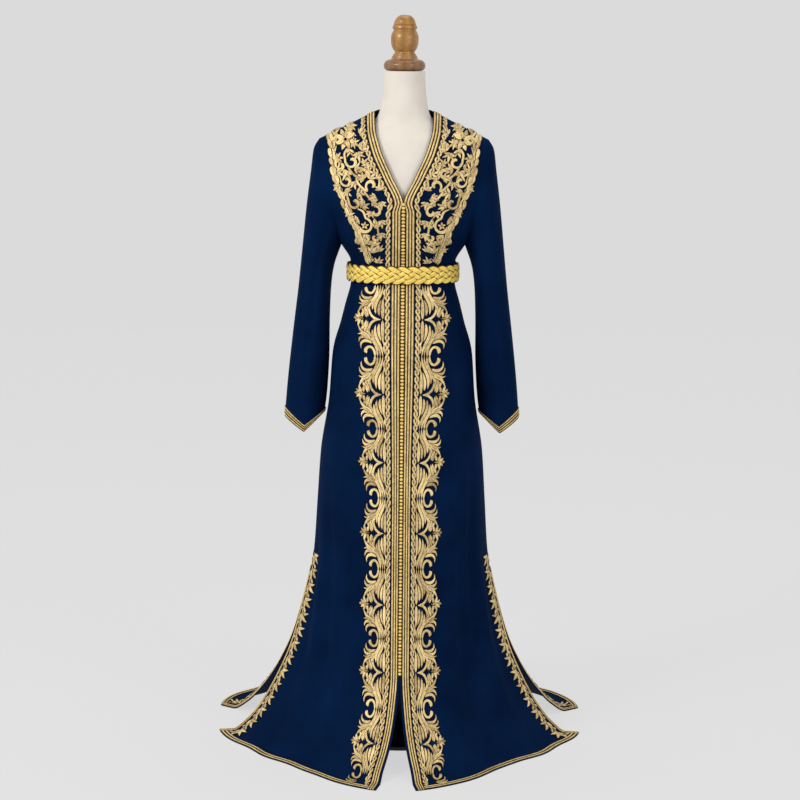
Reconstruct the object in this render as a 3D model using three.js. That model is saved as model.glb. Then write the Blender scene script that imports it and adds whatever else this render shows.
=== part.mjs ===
// Moroccan kaftan worn by a limbless dress form, all sizes in millimetres.
// +Z is up, the front of the kaftan faces -Y, and the pole of the form stands on the origin.
// "left" and "right" are those of somebody who looks at the front: right is +X.

import * as THREE from 'three';

// ---------------------------------------------------------------------------
// Driving sizes
// ---------------------------------------------------------------------------
const clothThickness = 2;
const seamGap = 0.3;
const braidThickness = 1.6;

const armhole = { topX: 194, topZ: 1398, bottomX: 142, bottomZ: 1157, halfDepth: 70 };
const neckSide = { x: 66.4, z: 1461 };
const neckBack = { y: 60, z: 1470 };

// Rows of the tables below where something begins.
const armpitRow = 7;
const waistRow = 9;
const slitTopRow = 17;
const floorRow = 23;
const hemRow = 24;

const frontBand = { edgeMargin: 1, width: 20, topZ: 1262, rampHeight: 22 };
const buttonStrip = { halfWidth: 5.6, topRow: 5.25, bottomRow: 19, gap: 0.5, thickness: 2.6 };
const ropeBraid = { gap: 1.5, width: 12.5 };
const bandTaper = { fullZ: 1000, narrowZ: 550, narrowScale: 0.8 };
const neckBandGap = 1.5;
const edgeTrim = { margin: 0.5, width: 16 };
const bandToHemGap = 1;
const slitToHemGap = 0.8;
const cuffTrimRows = [8.72, 8.86, 8.99];
const belt = { middleZ: 1095, height: 48, thickness: 4.5, clearance: 6 };
const beltProfile = { heights: [-0.5, -0.4, 0.4, 0.5], bulges: [0.35, 1, 1, 0.35] };
const frontSlitSpread = { left: 50, right: 37 };

const pole = { radius: 14, bottomZ: 10.3 };
const base = { radius: 170, thickness: 10, chamfer: 2 };

// ---------------------------------------------------------------------------
// Tables: one line for each cross-section, from the shoulder down to the hem
// ---------------------------------------------------------------------------

// Front panel: its edge at the neck and centre front, and how its section bows out and turns to the side.
const frontRows = table('innerX innerY innerZ bow turn', [
  [66.4, 0, 1461, 2.0, 1.0],
  [66.0, -34, 1446, 2.0, 1.0],
  [64.5, -60, 1424, 2.0, 1.0],
  [51.5, -90, 1376, 2.0, 1.0],
  [26.0, -110, 1319, 2.0, 1.0],
  [0, -120, 1258, 2.0, 1.1],
  [0, -117, 1212, 2.1, 1.4],
  [0, -107, 1160, 2.2, 2.0],
  [0, -93.5, 1122, 2.2, 2.2],
  [0, -91, 1095, 2.2, 2.2],
  [0, -93, 1068, 2.2, 2.2],
  [0, -110, 1020, 2.2, 2.2],
  [0, -126, 975, 2.2, 2.2],
  [0, -145, 905, 2.1, 2.1],
  [0, -155, 800, 2.1, 2.1],
  [0, -165, 680, 2.0, 2.0],
  [0, -180, 560, 1.95, 1.95],
  [0, -198, 440, 1.9, 1.9],
  [0, -223, 322, 1.8, 1.8],
  [0, -250, 210, 1.7, 1.7],
  [0.15, -290, 120, 1.6, 1.6],
  [0.4, -332, 60, 1.5, 1.5],
  [0.7, -378, 20, 1.42, 1.42],
  [0.85, -414, 2, 1.38, 1.38],
  [1, -446, 2, 1.36, 1.36],
]);

// Back panel, the same way: its line of centre points.
const backRows = table('innerX innerY innerZ bow turn', [
  [0, 60, 1470, 2.0, 1.0],
  [0, 70, 1452, 2.0, 1.0],
  [0, 80, 1424, 2.0, 1.0],
  [0, 92, 1376, 2.0, 1.0],
  [0, 98, 1319, 2.0, 1.0],
  [0, 98, 1258, 2.0, 1.1],
  [0, 93, 1212, 2.1, 1.4],
  [0, 87, 1160, 2.2, 2.0],
  [0, 83, 1122, 2.2, 2.2],
  [0, 81, 1095, 2.2, 2.2],
  [0, 83.5, 1068, 2.2, 2.2],
  [0, 102, 1020, 2.2, 2.2],
  [0, 118, 975, 2.2, 2.2],
  [0, 137, 905, 2.1, 2.1],
  [0, 150, 800, 2.1, 2.1],
  [0, 163, 680, 2.0, 2.0],
  [0, 180, 560, 2.0, 2.0],
  [0, 202, 440, 2.0, 2.0],
  [0, 230, 322, 2.0, 2.0],
  [0, 262, 210, 2.0, 2.0],
  [0, 308, 120, 2.0, 2.0],
  [0, 350, 60, 2.0, 2.0],
  [0, 392, 20, 2.0, 2.0],
  [0, 424, 2, 2.0, 2.0],
  [0, 455, 2, 2.0, 2.0],
]);

// Where each row above meets the armhole: degrees round it from the shoulder, 180 at the armpit.
const armholeAngles = table('degrees', [[0], [22.5], [40], [62], [86], [108], [140], [180]]);

// Side edge below the armpit. Down to the slit top it is the side seam, then the two edges part.
const sideRows = table('x z frontY backY', [
  [142, 1157, 0, 0],
  [121, 1122, 0, 0],
  [118, 1095, 0, 0],
  [120, 1068, 0, 0],
  [132, 1022, 0, 0],
  [143, 978, 0, 0],
  [161, 911, 0, 0],
  [169.5, 800, 0, 0],
  [188, 680, 0, 0],
  [196, 560, 0, 0],
  [204, 440, 0, 0],
  [227, 322, 0, 20],
  [256, 213, 0, 50],
  [298, 117, -3, 85],
  [328, 66, -8, 110],
  [361, 26, -12, 125],
  [396, 2, -18, 146],
  [427, 2, -23, 170],
]);
const backSideExtra = 13;

// Sleeve: the outer and inner ends of each ring, and half its depth front to back.
const sleeveRows = table('outerX outerZ innerX innerZ halfDepth', [
  [194, 1398, 142, 1157, 70],
  [206, 1376, 149, 1138, 69],
  [213, 1322, 156, 1118, 67],
  [222, 1250, 162, 1090, 64],
  [232, 1150, 166.5, 1040, 60],
  [241, 1060, 168.5, 972, 57],
  [250, 985, 169, 910, 54],
  [258, 916, 171.5, 850, 52],
  [266, 840, 175.5, 800, 50],
  [273, 768, 180, 762, 48],
]);
const cuffDip = { firstRow: 6, depth: 50 };

// Largest folds of the skirt: side, place across at top and bottom (0 centre, 1 side), reach and depth.
const frontFolds = table('side topAcross bottomAcross topZ halfWidth depth', [
  [1, 0.5, 0.44, 560, 0.055, -7],
  [1, 0.66, 0.53, 620, 0.05, -6],
  [1, 0.83, 0.72, 470, 0.06, -4],
  [-1, 0.7, 0.47, 600, 0.06, -5],
  [-1, 0.86, 0.66, 520, 0.06, -4],
]);
const backFolds = table('side topAcross bottomAcross topZ halfWidth depth', [
  [1, 0.25, 0.22, 700, 0.07, -8],
  [1, 0.52, 0.46, 620, 0.06, -7],
  [-1, 0.18, 0.2, 660, 0.07, -7],
  [-1, 0.45, 0.42, 720, 0.06, -8],
  [-1, 0.72, 0.66, 560, 0.06, -5],
]);

// Dress form: half width and depth to the front and back at each height.
const formRows = table('z halfWidth front back', [
  [1551.6, 47.2, 47, 47],
  [1530, 47.6, 47.5, 47.5],
  [1497, 50, 49, 49],
  [1472, 54, 51, 51],
  [1456, 58, 52, 52],
  [1441, 68, 55, 56],
  [1424, 94, 61, 64],
  [1400, 127, 75, 74],
  [1370, 150, 86, 82],
  [1337, 158, 96, 87],
  [1280, 152, 107, 90],
  [1230, 139, 107, 87],
  [1190, 130, 99, 83],
  [1157, 123, 90, 79],
  [1120, 111, 83, 76],
  [1095, 107, 79, 75],
  [1040, 117, 86, 84],
  [980, 130, 96, 98],
  [911, 143, 104, 108],
  [850, 147, 102, 108],
  [800, 144, 96, 102],
]);
const formBottomZ = 800;
const formNeckZ = 1465;
const formBow = 2.2;

// Turned wooden pieces: radius and height of each point of their outlines, from the top down.
const finialOutline = [
  [0, 1678], [9, 1676.6], [17, 1670.5], [21.5, 1662], [23.5, 1656.5],
  [28, 1655], [29, 1650.5], [27.5, 1646.5],
  [25.5, 1644.5], [30, 1637], [33, 1626], [32, 1612], [27, 1600], [21, 1592],
  [20.5, 1589.5], [25, 1587.5], [25.5, 1584.5], [29, 1582.5], [30, 1579], [0, 1578.8],
];
const discOutline = [
  [0, 1578.5], [43, 1578.5], [46.5, 1576.5], [47.5, 1572],
  [47.5, 1557], [46, 1553], [43, 1551.9], [0, 1551.9],
];

// ---------------------------------------------------------------------------
// Tables and curves
// ---------------------------------------------------------------------------

/** A table whose columns have names, with at(row) giving a smooth value of each column between its rows. */
function table(names, rows) {
  const columns = names.split(' ');
  const at = (row) => {
    const values = {};
    columns.forEach((name, i) => {
      values[name] = smoothValue(rows.map((line) => line[i]), row);
    });
    return values;
  };
  return { rows, last: rows.length - 1, at };
}

/** Value of a column at a row that may lie between two lines, by a cubic that never overshoots them. */
function smoothValue(values, row) {
  const last = values.length - 1;
  const i = Math.min(Math.max(Math.floor(row), 0), last - 1);
  const t = Math.min(Math.max(row - i, 0), 1);
  const step = (k) => values[k + 1] - values[k];
  const slope = (k) => {
    if (k === 0) return step(0);
    if (k === last) return step(last - 1);
    const before = step(k - 1);
    const after = step(k);
    return before * after <= 0 ? 0 : (2 * before * after) / (before + after);
  };
  const h00 = (1 + 2 * t) * (1 - t) ** 2;
  const h10 = t * (1 - t) ** 2;
  const h01 = t * t * (3 - 2 * t);
  const h11 = t * t * (t - 1);
  return h00 * values[i] + h10 * slope(i) + h01 * values[i + 1] + h11 * slope(i + 1);
}

/** 0 before the start, 1 past the end, and an even S between. */
function ramp(value) {
  const t = Math.min(Math.max(value, 0), 1);
  return t * t * (3 - 2 * t);
}

const vector = (x, y, z) => new THREE.Vector3(x, y, z);
const degrees = (value) => (value * Math.PI) / 180;
const steps = (from, to, count) => (
  Array.from({ length: count + 1 }, (_, i) => from + ((to - from) * i) / count)
);

// ---------------------------------------------------------------------------
// Surfaces of the cloth: each gives a point from across (0 to 1) and row, and the way out of the cloth
// ---------------------------------------------------------------------------

/** Point of the armhole seam. 0 degrees is the shoulder, 180 the armpit; the front half has sign -1. */
function armholePoint(angle, sign) {
  const turn = degrees(angle);
  const middleX = (armhole.topX + armhole.bottomX) / 2;
  const middleZ = (armhole.topZ + armhole.bottomZ) / 2;
  return vector(
    middleX + (Math.cos(turn) * (armhole.topX - armhole.bottomX)) / 2,
    sign * armhole.halfDepth * Math.sin(turn),
    middleZ + (Math.cos(turn) * (armhole.topZ - armhole.bottomZ)) / 2,
  );
}

/** Way out of the sleeve at a point of the armhole seam: straight away from the middle of the armhole. */
function armholeOutward(point) {
  const middle = vector((armhole.topX + armhole.bottomX) / 2, 0, (armhole.topZ + armhole.bottomZ) / 2);
  return point.clone().sub(middle).normalize();
}

/** Depth of the folds at a place across the panel and a height. */
function foldDepth(folds, side, across, z) {
  let depth = 0;
  for (const line of folds.rows) {
    const [foldSide, topAcross, bottomAcross, topZ, halfWidth, fullDepth] = line;
    if (foldSide !== side || z > topZ) continue;
    const down = 1 - z / topZ;
    const place = topAcross + (bottomAcross - topAcross) * down;
    const offset = (across - place) / (halfWidth * (0.7 + down));
    depth += fullDepth * ramp(down * 1.6) * Math.exp(-offset * offset);
  }
  return depth;
}

/** Point of a panel for the side +1, before its seam gap: a section that bows out and turns to the side. */
function sectionPoint(rows, sign, across, row) {
  const section = rows.at(row);
  const outer = row <= armpitRow
    ? armholePoint(armholeAngles.at(row).degrees, sign)
    : sidePoint(row, sign);
  const turn = degrees(90 * across);
  const sideways = Math.sin(turn) ** (2 / section.bow);
  const forward = across === 1 ? 0 : Math.cos(turn) ** (2 / section.turn);
  return vector(
    section.innerX + (outer.x - section.innerX) * sideways,
    outer.y + (section.innerY - outer.y) * forward,
    section.innerZ + (outer.z - section.innerZ) * sideways,
  );
}

/** Point of the side edge below the armpit; the back edge of the train runs a little further out. */
function sidePoint(row, sign) {
  const edge = sideRows.at(row - armpitRow);
  const extra = sign > 0 ? backSideExtra * ramp((row - slitTopRow) / (hemRow - slitTopRow)) : 0;
  return vector(edge.x + extra, sign > 0 ? edge.backY : edge.frontY, edge.z);
}

/** Moves a point of the skirt out or in by the depth of the folds there. */
function addFolds(point, folds, side, across) {
  const depth = foldDepth(folds, side, across, point.z);
  const radius = Math.hypot(point.x, point.y);
  point.x += (depth * point.x) / radius;
  point.y += (depth * point.y) / radius;
  return point;
}

/** Front panel of one side, side being +1 for right and -1 for left. */
function frontSurface(side) {
  const spread = side > 0 ? frontSlitSpread.right : frontSlitSpread.left;
  const point = (across, row) => {
    const place = sectionPoint(frontRows, -1, across, row);
    if (row > slitTopRow) {
      const slit = frontRows.at(row).innerX;
      place.x += slit * (spread - 1) * (1 - Math.sin(degrees(90 * across)));
    }
    addFolds(place, frontFolds, side, across);
    return vector(side * (place.x + seamGap / 2), place.y - seamGap / 2, place.z);
  };
  return { point, outward: (across, row) => panelOutward(point, across, row, -1) };
}

/** Back panel, across running from -1 at the left side through 0 at centre back to 1. */
function backSurface() {
  const point = (across, row) => {
    const side = across < 0 ? -1 : 1;
    const place = sectionPoint(backRows, 1, Math.abs(across), Math.max(row, 1));
    if (row < 1) place.lerp(backTopPoint(Math.abs(across)), 1 - row);
    addFolds(place, backFolds, side, Math.abs(across));
    return vector(side * place.x, place.y + seamGap / 2, place.z);
  };
  return { point, outward: (across, row) => panelOutward(point, across, row, 1) };
}

/** Top edge of the back panel: the hollow of the back neck, then the shoulder seam. */
function backTopPoint(across) {
  const x = armhole.topX * Math.sin(degrees(90 * across));
  if (x < neckSide.x) {
    const part = x / neckSide.x;
    const y = neckBack.y * Math.sqrt(1 - part * part);
    return vector(x, y, neckBack.z + (neckSide.z - neckBack.z) * part * part);
  }
  const part = (x - neckSide.x) / (armhole.topX - neckSide.x);
  return vector(x, 0, neckSide.z + (armhole.topZ - neckSide.z) * part);
}
const backNeckAcross = Math.asin(neckSide.x / armhole.topX) / degrees(90);

/** Way out of a panel. Two pieces that share a seam take the same way there, so their walls stay apart. */
function panelOutward(point, across, row, sign) {
  const here = point(across, row);
  const side = Math.sign(here.x) || 1;
  const onShoulder = row === 0 && (sign < 0 || Math.abs(across) > backNeckAcross - 1e-6);
  if (Math.abs(across) === 1 && row <= armpitRow) {
    const seam = armholePoint(armholeAngles.at(row).degrees, sign);
    const way = armholeOutward(seam);
    return vector(side * way.x, way.y, way.z);
  }
  if (onShoulder) {
    const rise = neckSide.z - armhole.topZ;
    const run = armhole.topX - neckSide.x;
    return vector(side * rise, 0, run).normalize();
  }
  if (Math.abs(across) === 1 && row <= slitTopRow) return vector(side, 0, 0);
  if (row >= floorRow) return vector(0, 0, 1);
  const small = 0.01;
  const a = Math.max(across - small, sign < 0 ? 0 : -1);
  const b = Math.min(across + small, 1);
  const c = Math.max(row - small, 0);
  const d = Math.min(row + small, hemRow);
  const alongRow = point(b, row).sub(point(a, row));
  const downRow = point(across, d).sub(point(across, c));
  const way = alongRow.cross(downRow).normalize();
  return way.dot(vector(0.2 * here.x, sign * 100, 40)) < 0 ? way.negate() : way;
}

/** Across value at a distance from the inner edge of a row, or from the outer edge if fromOuter is true. */
function acrossAt(surface, row, distance, fromOuter = false) {
  const samples = steps(fromOuter ? 1 : 0, fromOuter ? 0 : 1, 60);
  return sampleAt(samples, (across) => surface.point(across, row), distance);
}

/** Row value at a distance up from the hem. */
function rowFromHem(surface, across, distance) {
  return sampleAt(steps(hemRow, floorRow - 1, 30), (row) => surface.point(across, row), distance);
}

/** Walks along samples of a curve and gives the sample value where the length walked is the distance. */
function sampleAt(samples, pointAt, distance) {
  let walked = 0;
  let before = pointAt(samples[0]);
  for (let i = 1; i < samples.length; i += 1) {
    const next = pointAt(samples[i]);
    const length = next.distanceTo(before);
    if (walked + length >= distance) {
      return samples[i - 1] + ((samples[i] - samples[i - 1]) * (distance - walked)) / length;
    }
    walked += length;
    before = next;
  }
  return samples[samples.length - 1];
}

/** Sleeve of one side: angle in degrees round it, 0 along the outer line, the front at 90. */
function sleeveSurface(side) {
  const point = (angle, row) => {
    const ring = sleeveRows.at(row);
    const turn = degrees(angle);
    const dip = cuffDip.depth * ramp((row - cuffDip.firstRow) / (sleeveRows.last - cuffDip.firstRow));
    return vector(
      side * ((ring.outerX + ring.innerX) / 2 + (Math.cos(turn) * (ring.outerX - ring.innerX)) / 2),
      -ring.halfDepth * Math.sin(turn),
      (ring.outerZ + ring.innerZ) / 2 + (Math.cos(turn) * (ring.outerZ - ring.innerZ)) / 2
        - dip * (1 - Math.abs(Math.cos(turn))),
    );
  };
  const outward = (angle, row) => {
    if (row < 0.1) {
      const turned = angle % 360;
      const seam = armholePoint(turned > 180 ? 360 - turned : turned, turned > 180 ? 1 : -1);
      const way = armholeOutward(seam);
      return vector(side * way.x, way.y, way.z);
    }
    const round = point(angle + 1, row).sub(point(angle - 1, row));
    const down = point(angle, Math.min(row + 0.02, sleeveRows.last)).sub(point(angle, row - 0.02));
    return round.cross(down).normalize().multiplyScalar(side);
  };
  return { point, outward };
}

// ---------------------------------------------------------------------------
// Closed bodies
// ---------------------------------------------------------------------------

/** Closed geometry from points and triangles, turned so that its faces point out. */
function closedGeometry(points, triangles) {
  let volume = 0;
  for (const [a, b, c] of triangles) {
    volume += points[a].dot(points[b].clone().cross(points[c]));
  }
  const facing = volume < 0 ? triangles.map(([a, b, c]) => [a, c, b]) : triangles;
  const geometry = new THREE.BufferGeometry();
  const places = points.flatMap((point) => [point.x, point.y, point.z]);
  geometry.setAttribute('position', new THREE.Float32BufferAttribute(places, 3));
  geometry.setIndex(facing.flat());
  geometry.computeVertexNormals();
  return geometry;
}

/** Wall between two grids of points, with rims round its edges; a ring joins its last column to its first. */
function wall(outer, inner, ring = false) {
  const rows = outer.length;
  const columns = outer[0].length;
  const points = [...outer.flat(), ...inner.flat()];
  const half = rows * columns;
  const at = (row, column) => row * columns + (column % columns);
  const triangles = [];
  const quad = (a, b, c, d) => triangles.push([a, b, c], [a, c, d]);
  const lastColumn = ring ? columns : columns - 1;
  for (let row = 0; row < rows - 1; row += 1) {
    for (let column = 0; column < lastColumn; column += 1) {
      const corners = [at(row, column), at(row, column + 1), at(row + 1, column + 1), at(row + 1, column)];
      quad(...corners);
      quad(...corners.map((corner) => corner + half).reverse());
    }
  }
  for (let column = 0; column < lastColumn; column += 1) {
    quad(at(0, column + 1), at(0, column), at(0, column) + half, at(0, column + 1) + half);
    const [a, b] = [at(rows - 1, column), at(rows - 1, column + 1)];
    quad(a, b, b + half, a + half);
  }
  if (!ring) {
    for (let row = 0; row < rows - 1; row += 1) {
      quad(at(row, 0), at(row + 1, 0), at(row + 1, 0) + half, at(row, 0) + half);
      const [a, b] = [at(row + 1, columns - 1), at(row, columns - 1)];
      quad(a, b, b + half, a + half);
    }
  }
  return closedGeometry(points, triangles);
}

/** Point of a surface moved out of the cloth by a distance; a negative one moves it in, above the floor. */
function moved(surface, across, row, distance) {
  const place = surface.point(across, row).addScaledVector(surface.outward(across, row), distance);
  place.z = Math.max(place.z, 0);
  return place;
}

/** Wall of a whole surface: places(row) lists its across values in that row. */
function wallOf(surface, rowValues, places, from, to, ring = false) {
  const grid = (distance) => rowValues.map((row) => (
    places(row).map((across) => moved(surface, across, row, distance))
  ));
  return wall(grid(to), grid(from), ring);
}

/** Flat trim sewn on the outside of a surface. */
function trimOn(surface, rowValues, places, thickness = braidThickness) {
  return wallOf(surface, rowValues, places, seamGap, seamGap + thickness);
}

/** Closed rings of a body, one for each line of a table, closed by a flat cap at each end. */
function ringBody(rings) {
  const columns = rings[0].length;
  const points = rings.flat();
  const top = points.length;
  const middle = (ring) => ring.reduce((sum, p) => sum.add(p), vector(0, 0, 0)).divideScalar(columns);
  points.push(middle(rings[0]), middle(rings[rings.length - 1]));
  const triangles = [];
  for (let column = 0; column < columns; column += 1) {
    const next = (column + 1) % columns;
    for (let row = 0; row < rings.length - 1; row += 1) {
      const [a, b] = [row * columns + column, row * columns + next];
      triangles.push([a, b, b + columns], [a, b + columns, a + columns]);
    }
    const last = (rings.length - 1) * columns;
    triangles.push([top, next, column], [top + 1, last + column, last + next]);
  }
  return closedGeometry(points, triangles);
}

/** Round body from an outline of [radius, height] points that starts and ends on the axis. */
function turned(outline, segments = 32) {
  const lathe = new THREE.LatheGeometry(outline.map(([r, z]) => new THREE.Vector2(r, z)).reverse(), segments);
  lathe.rotateX(Math.PI / 2);
  return lathe;
}

// ---------------------------------------------------------------------------
// Materials and the list of pieces
// ---------------------------------------------------------------------------
const finishes = {
  crepe: { color: 0x081c40, roughness: 0.75, metalness: 0 },
  goldBraid: { color: 0xc9a45c, roughness: 0.45, metalness: 0.35 },
  goldKnots: { color: 0xc8933a, roughness: 0.45, metalness: 0.35 },
  goldBelt: { color: 0xe0bb50, roughness: 0.45, metalness: 0.3 },
  linen: { color: 0xece6dc, roughness: 0.9, metalness: 0 },
  turnedWood: { color: 0x8a5526, roughness: 0.4, metalness: 0 },
  darkSteel: { color: 0x26262a, roughness: 0.5, metalness: 0.8 },
};

const kaftan = new THREE.Group();

function addPiece(name, geometry, finish) {
  const mesh = new THREE.Mesh(geometry, new THREE.MeshStandardMaterial(finishes[finish]));
  mesh.name = name;
  kaftan.add(mesh);
}

// ---------------------------------------------------------------------------
// Pieces of the kaftan
// ---------------------------------------------------------------------------
const halfRows = steps(0, hemRow, hemRow * 4).filter(
  (row) => row % 1 === 0 || row === buttonStrip.topRow || (row % 0.5 === 0 && (row < 8 || row > 19)),
);
const acrossColumns = [0, 0.12, 0.25, 0.38, 0.5, 0.6, 0.7, 0.8, 0.9, 1];
const backColumns = [0.12, 0.36, 0.5, 0.64, 0.78, 0.9, 1];
const sides = { left: frontSurface(-1), right: frontSurface(1) };
const back = backSurface();

/** Scale of the bands' widths: full above the hips, and narrower further down the skirt. */
function bandScale(row) {
  const fall = (bandTaper.fullZ - frontRows.at(row).innerZ) / (bandTaper.fullZ - bandTaper.narrowZ);
  return 1 - (1 - bandTaper.narrowScale) * ramp(fall);
}

/** Distance from the front edge to the front band: a little at the neck, and clear of the knots below it. */
function bandStart(row) {
  const fall = (frontBand.topZ - frontRows.at(row).innerZ) / frontBand.rampHeight;
  return frontBand.edgeMargin + buttonStrip.halfWidth * ramp(fall) * bandScale(row);
}

/** Across values of a strip of a front panel between two distances past the start of the front band. */
function stripBetween(surface, from, to) {
  return (row) => [from, to].map((distance) => (
    acrossAt(surface, row, bandStart(row) + distance * bandScale(row))
  ));
}

function addFrontPieces() {
  const ropeStart = frontBand.width + ropeBraid.gap;
  for (const [name, surface] of Object.entries(sides)) {
    const bandPlaces = stripBetween(surface, 0, frontBand.width);
    const ropePlaces = stripBetween(surface, ropeStart, ropeStart + ropeBraid.width);
    const panel = wallOf(surface, halfRows, () => acrossColumns, -clothThickness, 0);
    addPiece(`front_panel_${name}`, panel, 'crepe');
    addPiece(`front_band_${name}`, trimOn(surface, halfRows, bandPlaces), 'goldBraid');
    addPiece(`rope_braid_${name}`, trimOn(surface, halfRows, ropePlaces), 'goldBraid');
  }
}

/** The column of knots from the neck point to the top of the front slit: one plain strip over both panels. */
function addButtonStrip() {
  const rows = halfRows.filter((row) => row >= buttonStrip.topRow && row <= buttonStrip.bottomRow);
  const grid = (distance) => rows.map((row) => {
    const half = bandStart(row) - frontBand.edgeMargin;
    const placeOn = (surface, width) => moved(surface, acrossAt(surface, row, width), row, distance);
    const onLeft = [half, half / 2].map((width) => placeOn(sides.left, width));
    const onRight = [half / 2, half].map((width) => placeOn(sides.right, width));
    return [...onLeft, ...onRight];
  });
  const strip = wall(grid(buttonStrip.gap + buttonStrip.thickness), grid(buttonStrip.gap));
  addPiece('button_strip', strip, 'goldKnots');
}

function addBackPieces() {
  const half = [...backColumns, backNeckAcross].sort((a, b) => a - b);
  const columns = [...half.map((across) => -across).reverse(), 0, ...half];
  addPiece('back_panel', wallOf(back, halfRows, () => columns, -clothThickness, 0), 'crepe');
  addPiece('neck_band_back', backNeckBand(), 'goldBraid');
}

/** Band along the back neck: from each point of the neck edge it goes its width down the cloth. */
function backNeckBand() {
  const angles = steps(-90, 90, 16);
  const edge = (angle) => {
    const turn = degrees(angle);
    const [wayX, wayY] = [Math.sin(turn), Math.cos(turn)];
    return { x: neckSide.x * wayX, y: neckBack.y * wayY, wayX, wayY };
  };
  const place = (angle, width) => {
    const start = edge(angle);
    let walked = 0;
    let before = null;
    for (let reach = 0.6; reach < 60; reach += 0.6) {
      const found = backPlace(start.x + start.wayX * reach, start.y + start.wayY * reach);
      const next = back.point(found.across, found.row);
      if (before) walked += next.distanceTo(before);
      if (walked >= width) return found;
      before = next;
    }
    return null;
  };
  const grid = (distance) => [0, frontBand.width / 2, frontBand.width].map((width) => angles.map((angle) => {
    const found = place(angle, width);
    return moved(back, found.across, found.row, distance);
  }));
  return wall(grid(neckBandGap + braidThickness), grid(neckBandGap));
}

/** Across and row of the back panel above a place in plan, near the neck. */
function backPlace(x, y) {
  let low = 0;
  let high = 3;
  const acrossFor = (row) => {
    const outerX = armholePoint(armholeAngles.at(Math.max(row, 1)).degrees, 1).x;
    const reach = row < 1 ? armhole.topX + (outerX - armhole.topX) * row : outerX;
    return (Math.sign(x) || 1) * (Math.asin(Math.min(Math.abs(x) / reach, 1)) / degrees(90));
  };
  for (let turn = 0; turn < 40; turn += 1) {
    const middle = (low + high) / 2;
    if (back.point(acrossFor(middle), middle).y < y) low = middle;
    else high = middle;
  }
  return { across: acrossFor(low), row: low };
}

function addSleeves() {
  const angles = steps(0, 360, 20).slice(0, -1);
  const rows = [0.017, 0.5, 1, 1.5, ...steps(2, 9, 7)];
  for (const [name, side] of [['left', -1], ['right', 1]]) {
    const surface = sleeveSurface(side);
    addPiece(`sleeve_${name}`, wallOf(surface, rows, () => angles, -clothThickness, 0, true), 'crepe');
    const cuff = wallOf(surface, cuffTrimRows, () => angles, seamGap, seamGap + braidThickness, true);
    addPiece(`cuff_trim_${name}`, cuff, 'goldBraid');
  }
}

/** Trims along the side slits and the hems: a slit trim runs to the hem, and a hem trim lies between them. */
function addEdgeTrims() {
  const slitRows = halfRows.filter((row) => row >= slitTopRow + 0.5);
  const { margin, width } = edgeTrim;
  const slitPlaces = (surface, sign) => (row) => [width, margin].map(
    (distance) => sign * acrossAt(surface, row, distance, true),
  );
  const hemGrid = (surface, columns) => {
    const grid = (distance) => [width, margin].map((fromHem) => columns.map((across) => (
      moved(surface, across, rowFromHem(surface, across, fromHem), distance))));
    return wall(grid(seamGap + braidThickness), grid(seamGap));
  };
  const slitStart = (surface) => acrossAt(surface, hemRow, width + slitToHemGap, true);
  for (const [name, surface] of Object.entries(sides)) {
    addPiece(`slit_trim_front_${name}`, trimOn(surface, slitRows, slitPlaces(surface, 1)), 'goldBraid');
    const bandsWidth = frontBand.width + ropeBraid.gap + ropeBraid.width + bandToHemGap;
    const bandEnd = bandStart(hemRow) + bandsWidth * bandScale(hemRow);
    const start = acrossAt(surface, hemRow, bandEnd);
    addPiece(`hem_trim_front_${name}`, hemGrid(surface, steps(start, slitStart(surface), 16)), 'goldBraid');
  }
  addPiece('slit_trim_back_left', trimOn(back, slitRows, slitPlaces(back, -1)), 'goldBraid');
  addPiece('slit_trim_back_right', trimOn(back, slitRows, slitPlaces(back, 1)), 'goldBraid');
  const end = slitStart(back);
  addPiece('hem_trim_back', hemGrid(back, steps(-end, end, 32)), 'goldBraid');
}

/** The flat braided belt: one ring round the waist, just clear of the cloth, rounded at its edges. */
function addBelt() {
  const angles = steps(0, 360, 48).slice(0, -1);
  const { heights, bulges } = beltProfile;
  const waist = (angle) => {
    const turn = degrees(angle);
    const depth = Math.sin(turn) < 0 ? -frontRows.at(waistRow).innerY : backRows.at(waistRow).innerY;
    const power = 2 / frontRows.at(waistRow).bow;
    const halfWidth = sideRows.at(waistRow - armpitRow).x;
    const x = Math.sign(Math.cos(turn)) * Math.abs(Math.cos(turn)) ** power * halfWidth;
    const y = Math.sign(Math.sin(turn)) * Math.abs(Math.sin(turn)) ** power * depth;
    return vector(x, y, 0);
  };
  const ring = (part, distance) => angles.map((angle) => {
    const here = waist(angle);
    const way = vector(here.x, here.y, 0).normalize();
    return vector(here.x + way.x * distance, here.y + way.y * distance, belt.middleZ + part * belt.height);
  });
  const outer = heights.map((part, i) => ring(part, belt.clearance + belt.thickness * bulges[i]));
  const inner = heights.map((part) => ring(part, belt.clearance));
  addPiece('belt', wall(outer, inner, true), 'goldBelt');
}

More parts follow.
